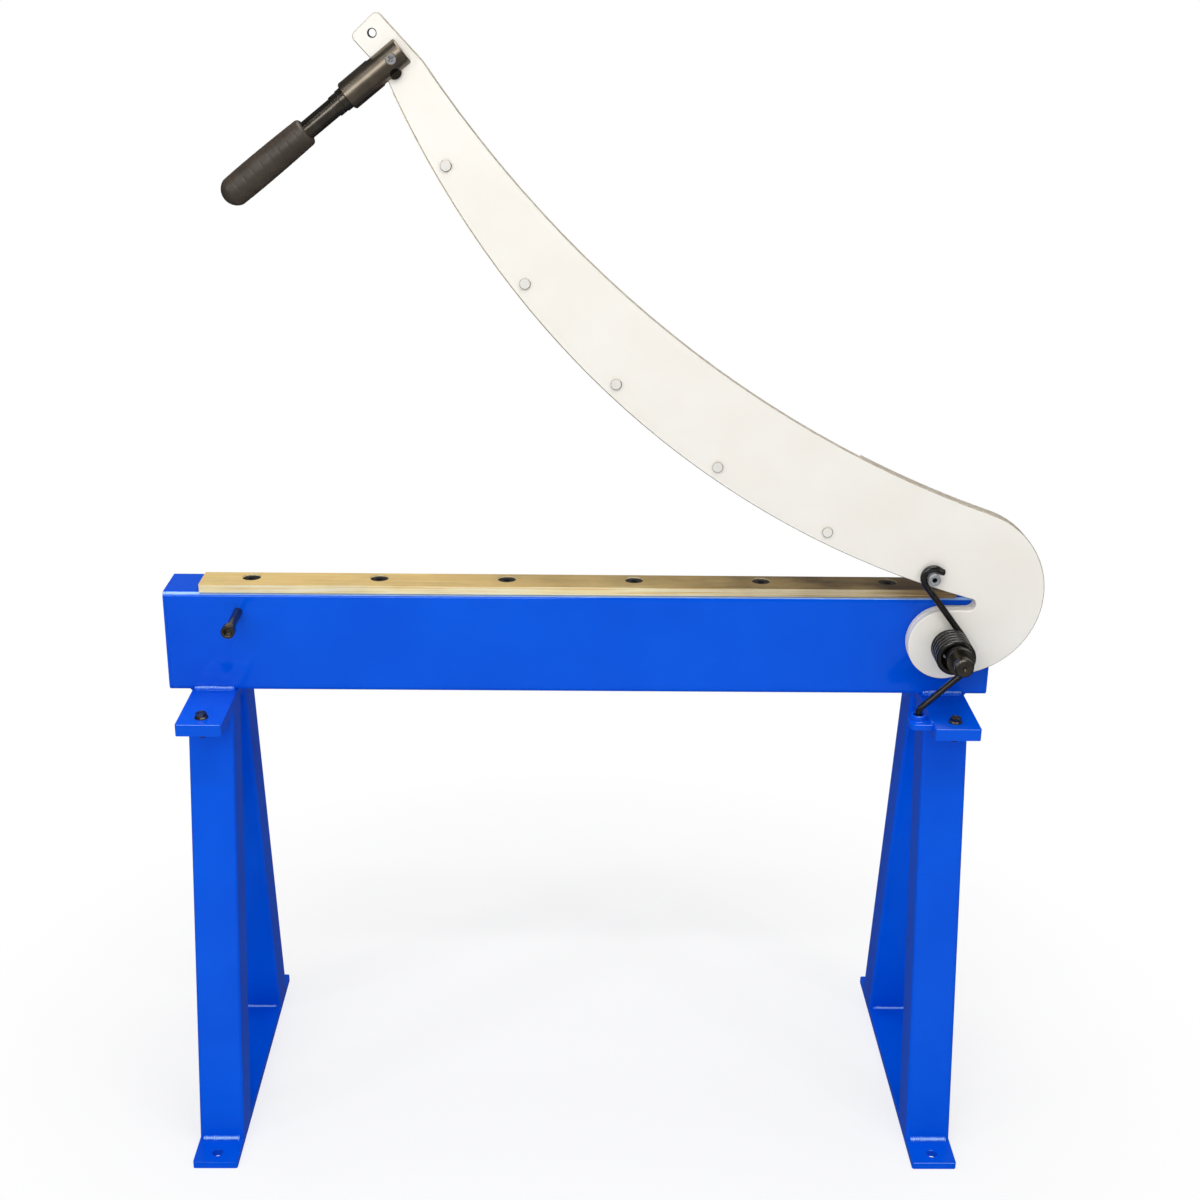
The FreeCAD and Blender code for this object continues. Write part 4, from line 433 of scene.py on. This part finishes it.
def makeSpring():
    # path: lower leg up from the eyelet, bend, tangent, helix, tangent, bend, hook, upturned tip;
    # surface: a circle carried along the path, square to it
    pivot = np.array(frame["joints"][0]["pos_m"])
    bolt = np.array([sum(c) / 2 for c in zip(*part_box("hook_bolt"))])
    radius = spring["coilDiameter"] / 2
    step = spring["steps"]
    startAngle = spring["lowerAngle"] + 90
    coilX, coilZ = pivot[0] - spring["coilShift"], pivot[2] - spring["coilSag"]
    upperAngle = (90 + math.degrees(math.atan2(bolt[2] - coilZ, bolt[0] - coilX)) - math.degrees(
        math.acos((radius + spring["hookPass"]) / math.hypot(bolt[0] - coilX, bolt[2] - coilZ))))
    turn = 360 * spring["turns"] + (upperAngle - 90 - startAngle) % 360
    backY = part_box("arm_plate")[0][1] - spring["armGap"] - spring["wire"] / 2
    frontY = backY - spring["pitch"] * turn / 360
    front = np.array([coilX, frontY, coilZ])
    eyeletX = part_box("foot_plate_right")[0][0] - spring["eyeletReach"]

    def arcPoints(centre, size, first, last):
        count = max(int(abs(math.radians(last - first)) * size / step), 6)
        return onCircle(centre, size, np.linspace(first, last, count))[1:]

    def linePoints(first, last):
        count = max(int(np.linalg.norm(last - first) / step), 2)
        return (first + np.linspace(0, 1, count)[:, None] * (last - first))[1:]

    angles = np.linspace(startAngle, startAngle + turn, int(math.radians(turn) * radius / step))
    share = np.clip((angles - startAngle) / turn, 0, 1)
    ease = spring["easeTurn"] / turn  # the coil stays level over half of this share at each end
    soft = np.clip((share - ease / 2) / (1 - ease), 0, 1)
    coil = onCircle(front, radius, angles)
    coil[:, 1] = frontY + (backY - frontY) * soft
    down = heading(spring["lowerAngle"])
    bend = spring["lowerBend"]
    reach = bend * (1 - math.cos(math.radians(270 - spring["lowerAngle"])))
    bendStart = coil[0] + down * ((eyeletX + reach - coil[0][0]) / down[0])
    bendCentre = bendStart + heading(startAngle) * bend
    foot = np.array([eyeletX, frontY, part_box("spring_eyelet")[0][2] + spring["legEnd"]])
    corner = onCircle(bendCentre, bend, np.array([180.0]))[0]
    up = heading(upperAngle)
    side = heading(upperAngle - 90)
    bolt[1] = backY
    large = spring["upperBend"]
    small = spring["boltHeadRadius"] + spring["wire"] / 2 + spring["hookGap"]
    offset = (bolt - coil[-1]) @ side
    run = (bolt - coil[-1]) @ up - math.sqrt((large - small) ** 2 - (large - offset) ** 2)
    turnCentre = coil[-1] + up * run + side * large
    meet = math.degrees(math.atan2(bolt[2] - turnCentre[2], bolt[0] - turnCentre[0])) % 360
    leave = spring["hookLeave"]
    tipCentre = onCircle(bolt, small + spring["tipBend"], np.array([float(leave)]))[0]
    path = np.concatenate([
        foot[None], linePoints(foot, corner), arcPoints(bendCentre, bend, 180, spring["lowerAngle"] - 90),
        linePoints(bendStart, coil[0]), coil[1:], linePoints(coil[-1], coil[-1] + up * run),
        arcPoints(turnCentre, large, upperAngle + 90, meet), arcPoints(bolt, small, meet, leave),
        arcPoints(tipCentre, spring["tipBend"], leave + 180, leave + 180 + spring["tipTurn"])])
    along = unit(np.gradient(path, axis=0))
    first = unit(np.array([0, 1, 0]) - along * along[:, 1:2])
    second = np.cross(along, first)
    around = np.linspace(0, 2 * np.pi, spring["around"], endpoint=False)
    ring = spring["wire"] / 2 * (first[:, None] * np.cos(around)[None, :, None]
                                 + second[:, None] * np.sin(around)[None, :, None])
    travelled = np.concatenate([[0], np.cumsum(np.linalg.norm(np.diff(path, axis=0), axis=1))])
    ends = np.clip(np.minimum(travelled, travelled[-1] - travelled) / spring["cutEndLength"], 0, 1)
    size = (np.sqrt(np.clip(1 - (1 - ends) ** 2, 0, 1)) * (1 - spring["cutEndSize"])
            + spring["cutEndSize"])  # both cut ends are a little rounded
    item = gridMesh("liftSpringWire", path[:, None] + ring * size[:, None, None])
    item.data.materials.append(finishes["spring_black"])
    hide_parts("lift_spring")
    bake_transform(item)


makeSpring()
print("lift spring wound")


# Weld beads: laid in one pass, then painted over
weld = {  # height, bulge, wander, taper length and tip size are shares of a bead's size
    "ripple": 2.6 * mm, "height": 0.09, "steps": 0.55 * mm, "bulge": 0.3, "knots": 9 * mm, "wander": 0.1,
    "overrun": 0.12, "around": 15, "taperLength": 0.9, "tipSize": 0.12, "sunk": 0.3 * mm,
    "footBead": 5.5 * mm, "headBead": 4.5 * mm, "beamBead": 7.5 * mm, "earBead": 3.6 * mm,
    "legSide": 60 * mm, "legInset": 3 * mm, "footInset": 1.5 * mm, "sideInset": 6 * mm,
    "beamCorner": 3.2 * mm}


def weldBead(name, start, end, outA, outB, size, seed):
    # surface: along the joint, a convex corner profile between the two faces, with ripples like laid coins
    start, end, outA, outB = (np.array(v, float) for v in (start, end, outA, outB))
    length = np.linalg.norm(end - start)
    count = int(length / weld["steps"])
    travelled = np.linspace(0, length, count)
    random = np.random.default_rng(seed)
    knots = random.uniform(-1, 1, int(length / weld["knots"]) + 3)
    wander = np.interp(travelled, np.linspace(0, length, len(knots)), knots)
    turn = np.linspace(-weld["overrun"], np.pi / 2 + weld["overrun"], weld["around"])
    flat = 1 / (np.abs(np.cos(turn)) + np.abs(np.sin(turn)))
    crown = np.sin(2 * np.clip(turn, 0, np.pi / 2))
    profile = flat * (1 + weld["bulge"] * crown)
    wave = travelled[:, None] / weld["ripple"] - 0.5 * crown[None]
    ripple = 1 + weld["height"] * (np.abs(np.sin(np.pi * wave)) - 0.6)
    ends = np.clip(np.minimum(travelled, length - travelled) / (size * weld["taperLength"]), 0, 1)
    taper = weld["tipSize"] + (1 - weld["tipSize"]) * np.sqrt(np.clip(1 - (1 - ends) ** 2, 0, 1))
    radius = size * profile[None] * ripple * (1 + weld["wander"] * wander[:, None]) * taper[:, None]
    corner = start + (travelled / length)[:, None] * (end - start)
    ring = (corner[:, None] + radius[..., None] * (np.cos(turn)[None, :, None] * outA
                                                  + np.sin(turn)[None, :, None] * outB))
    heart = corner - (outA + outB) * weld["sunk"]
    item = gridMesh(name, np.concatenate([ring, heart[:, None]], 1))
    item.data.materials.append(finishes["blue_paint"])
    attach(item, "root")


def weldStand(side):
    near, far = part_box(f"stand_{side}_near_leg"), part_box(f"stand_{side}_far_leg")
    left, right = near[0][0] + weld["legInset"], near[1][0] - weld["legInset"]
    rise = near[1][2] - near[0][2]
    leg = weld["legSide"]
    lean = (near[1][1] - near[0][1] - leg) / rise
    up = np.array([0, lean, 1]) / math.hypot(lean, 1)
    toFar = up * np.array([1, -1, 1])
    floorZ, headZ = near[0][2], near[1][2]
    places = [  # y at the foot, outward way in y, direction up the leg's face
        ("NearOut", near[0][1], -1, up), ("NearIn", near[0][1] + leg, 1, up),
        ("FarIn", far[1][1] - leg, -1, toFar), ("FarOut", far[1][1], 1, toFar)]
    for number, (name, y, out, along) in enumerate(places):
        weldBead(f"weld{side.title()}Foot{name}", (left, y, floorZ), (right, y, floorZ), (0, out, 0), along,
                 weld["footBead"], 10 + number)
        headY = y + along[1] / along[2] * rise
        weldBead(f"weld{side.title()}Head{name}", (left, headY, headZ), (right, headY, headZ), (0, out, 0),
                 -along, weld["headBead"], 20 + number)


def weldBed(side):
    # the foot plate is welded along the rounded lower edges of the beam and under it at its sides
    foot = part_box(f"foot_plate_{side}")
    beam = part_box("bed_beam")
    top = foot[1][2]
    left, right = foot[0][0] + weld["footInset"], foot[1][0] - weld["footInset"]
    nearY, farY = beam[0][1] + weld["beamCorner"], beam[1][1] - weld["beamCorner"]
    weldBead(f"weld{side.title()}BedNear", (left, nearY, top), (right, nearY, top), (0, -1, 0), (0, 0, 1),
             weld["beamBead"], 31)
    weldBead(f"weld{side.title()}BedFar", (left, farY, top), (right, farY, top), (0, 1, 0), (0, 0, 1),
             weld["beamBead"], 32)
    for name, x, out in (("Left", foot[0][0], -1), ("Right", foot[1][0], 1)):
        weldBead(f"weld{side.title()}Bed{name}", (x, beam[0][1] + weld["sideInset"], top),
                 (x, beam[1][1] - weld["sideInset"], top), (out, 0, 0), (0, 0, -1), weld["headBead"], 33)


def weldEyelet():
    # the ear of the spring's eyelet is welded on top to the side of the right foot plate
    ear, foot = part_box("spring_eyelet"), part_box("foot_plate_right")
    inset = 2 * mm
    x, z = foot[0][0], foot[1][2] - inset
    weldBead("weldEyeletTop", (x, ear[0][1] + inset, z), (x, ear[1][1] - inset, z), (-1, 0, 0), (0, 0, 1),
             weld["earBead"], 41)


for side in ("left", "right"):
    weldStand(side)
for side in ("left", "right"):
    weldBed(side)
weldEyelet()
print("weld beads laid")


# Camera at the photograph's place: the bed level, seen from the back and a little above
camera = {"place": (-15.3 * mm, -2169.2 * mm, 1548.2 * mm), "pitch": 20.4, "yaw": 1.1, "roll": 0.8,
          "focalPixels": 1725.9, "imagePixels": 1200, "sensor": 36.0}


def addCamera():
    data = bpy.data.cameras.new("photoCamera")
    item = bpy.data.objects.new("photoCamera", data)
    bpy.context.scene.collection.objects.link(item)
    data.sensor_fit = "HORIZONTAL"
    data.sensor_width = camera["sensor"]
    data.lens = camera["focalPixels"] / camera["imagePixels"] * camera["sensor"]
    data.clip_start, data.clip_end = 0.05, 400
    yaw, pitch, roll = (math.radians(camera[k]) for k in ("yaw", "pitch", "roll"))
    ahead = Vector((math.sin(yaw) * math.cos(pitch), math.cos(yaw) * math.cos(pitch), -math.sin(pitch)))
    right = Vector((math.cos(yaw), -math.sin(yaw), 0))
    up = right.cross(ahead)
    turnedRight = right * math.cos(roll) + up * math.sin(roll)
    turnedUp = up * math.cos(roll) - right * math.sin(roll)
    matrix = Matrix((turnedRight, turnedUp, -ahead)).transposed().to_4x4()
    matrix.translation = Vector(camera["place"])
    item.matrix_world = matrix
    bpy.context.scene.camera = item


addCamera()


# Stage: a pale floor that fades into white; soft lamps above and beside the camera
stage = {"size": 300.0, "fadeStart": 0.45, "fadeEnd": 1.0, "shadowShare": 0.32, "roomInFront": 0.05,
         "roomBehind": 0.12, "floorInFront": 0.32, "floorBehind": 0.04, "ambient": 0.26,
         "floorTurns": (-1.2, 0.0), "roomTurns": (-0.5, 0.9)}  # turns: Y from the front tone to the back one


def throughRays(tree, rays, plain, seen):  # camera, glossy and transmission rays see the white background
    direct = addNode(tree, "ShaderNodeMath", {"operation": "MAXIMUM"}, {
        0: rays.outputs["Is Camera Ray"], 1: rays.outputs["Is Glossy Ray"]}).outputs[0]
    anyRay = addNode(tree, "ShaderNodeMath", {"operation": "MAXIMUM"}, {
        0: direct, 1: rays.outputs["Is Transmission Ray"]}).outputs[0]
    return addNode(tree, "ShaderNodeMixShader", inputs={0: anyRay, 1: plain, 2: seen}).outputs[0]


def whiteStrength(tree, rays, place, turns, first, last):  # white to the camera, toned down in reflections
    depth = addNode(tree, "ShaderNodeSeparateXYZ", inputs={"Vector": place}).outputs["Y"]
    mirrored = addNode(tree, "ShaderNodeMapRange", {"interpolation_type": "SMOOTHSTEP"}, {
        "Value": depth, "From Min": turns[0], "From Max": turns[1],
        "To Min": first, "To Max": last}).outputs[0]
    return addNode(tree, "ShaderNodeMix", {"data_type": "FLOAT"}, {
        0: rays.outputs["Is Glossy Ray"], 2: 1.0, 3: mirrored}).outputs[0]


def addFloor():
    half = stage["size"] / 2
    mesh = bpy.data.meshes.new("studioFloor")
    corners = [(-half, -half, 0), (half, -half, 0), (half, half, 0), (-half, half, 0)]
    mesh.from_pydata(corners, [], [(0, 1, 2, 3)])
    item = bpy.data.objects.new("studioFloor", mesh)
    bpy.context.scene.collection.objects.link(item)
    material, tree, shader, out, place = newMaterial("paleFloor")
    shader.inputs["Base Color"].default_value = hexColour("#FDFDFD")
    shader.inputs["Roughness"].default_value = 0.9
    distance = addNode(tree, "ShaderNodeVectorMath", {"operation": "LENGTH"}, {0: place}).outputs["Value"]
    share = addNode(tree, "ShaderNodeMapRange", inputs={
        "Value": distance, "From Min": stage["fadeStart"], "From Max": stage["fadeEnd"],
        "To Min": stage["shadowShare"], "To Max": 0.0}).outputs[0]
    rays = addNode(tree, "ShaderNodeLightPath")
    shadow = addNode(tree, "ShaderNodeMix", {"data_type": "FLOAT"}, {
        0: rays.outputs["Is Glossy Ray"], 2: share, 3: 0.0}).outputs[0]
    strength = whiteStrength(tree, rays, place, stage["floorTurns"], stage["floorInFront"],
                             stage["floorBehind"])
    white = addNode(tree, "ShaderNodeEmission", inputs={
        "Color": (1, 1, 1, 1), "Strength": strength}).outputs[0]
    seen = addNode(tree, "ShaderNodeMixShader", inputs={0: shadow, 1: white, 2: shader.outputs[0]}).outputs[0]
    tree.links.new(throughRays(tree, rays, shader.outputs[0], seen), out.inputs["Surface"])
    mesh.materials.append(material)


addFloor()


def addWorld():
    world = bpy.data.worlds.new("whiteStudio")
    bpy.context.scene.world = world
    world.use_nodes = True
    tree = world.node_tree
    tree.nodes.clear()
    rays = addNode(tree, "ShaderNodeLightPath")
    place = addNode(tree, "ShaderNodeTexCoord").outputs["Generated"]
    strength = whiteStrength(tree, rays, place, stage["roomTurns"], stage["roomInFront"],
                             stage["roomBehind"])
    seen = addNode(tree, "ShaderNodeBackground", inputs={
        "Color": (1, 1, 1, 1), "Strength": strength}).outputs[0]
    ambient = addNode(tree, "ShaderNodeBackground", inputs={
        "Color": (1, 1, 1, 1), "Strength": stage["ambient"]}).outputs[0]
    addNode(tree, "ShaderNodeOutputWorld", inputs={"Surface": throughRays(tree, rays, ambient, seen)})


addWorld()

lamps = {  # name: place, aim, width and height in metres, watts
    "frontSoftbox": ((-0.9, -3.3, 2.3), (0, 0, 0.75), (1.8, 1.4), 37),
    "topSoftbox": ((0.1, 0.1, 3.1), (0, 0, 0.7), (2.4, 1.6), 38),
    "stripLight": ((0.0, -1.5, 2.9), (0, 0, 0.6), (3.2, 0.16), 20),
    "leftEdgeLight": ((-2.3, -1.4, 1.9), (0, 0, 0.7), (0.14, 1.5), 9),
    "rightEdgeLight": ((2.2, -2.0, 1.7), (0.1, 0, 0.7), (0.14, 1.5), 9)}
for name, (place, aim, (width, height), power) in lamps.items():
    data = bpy.data.lights.new(name, "AREA")
    data.shape = "RECTANGLE"
    data.size, data.size_y = width, height
    data.energy = power
    item = bpy.data.objects.new(name, data)
    bpy.context.scene.collection.objects.link(item)
    item.location = place
    item.rotation_euler = (Vector(aim) - Vector(place)).to_track_quat("-Z", "Y").to_euler()
print("camera, floor and lamps set")

bpy.context.scene.view_settings.view_transform = "Standard"
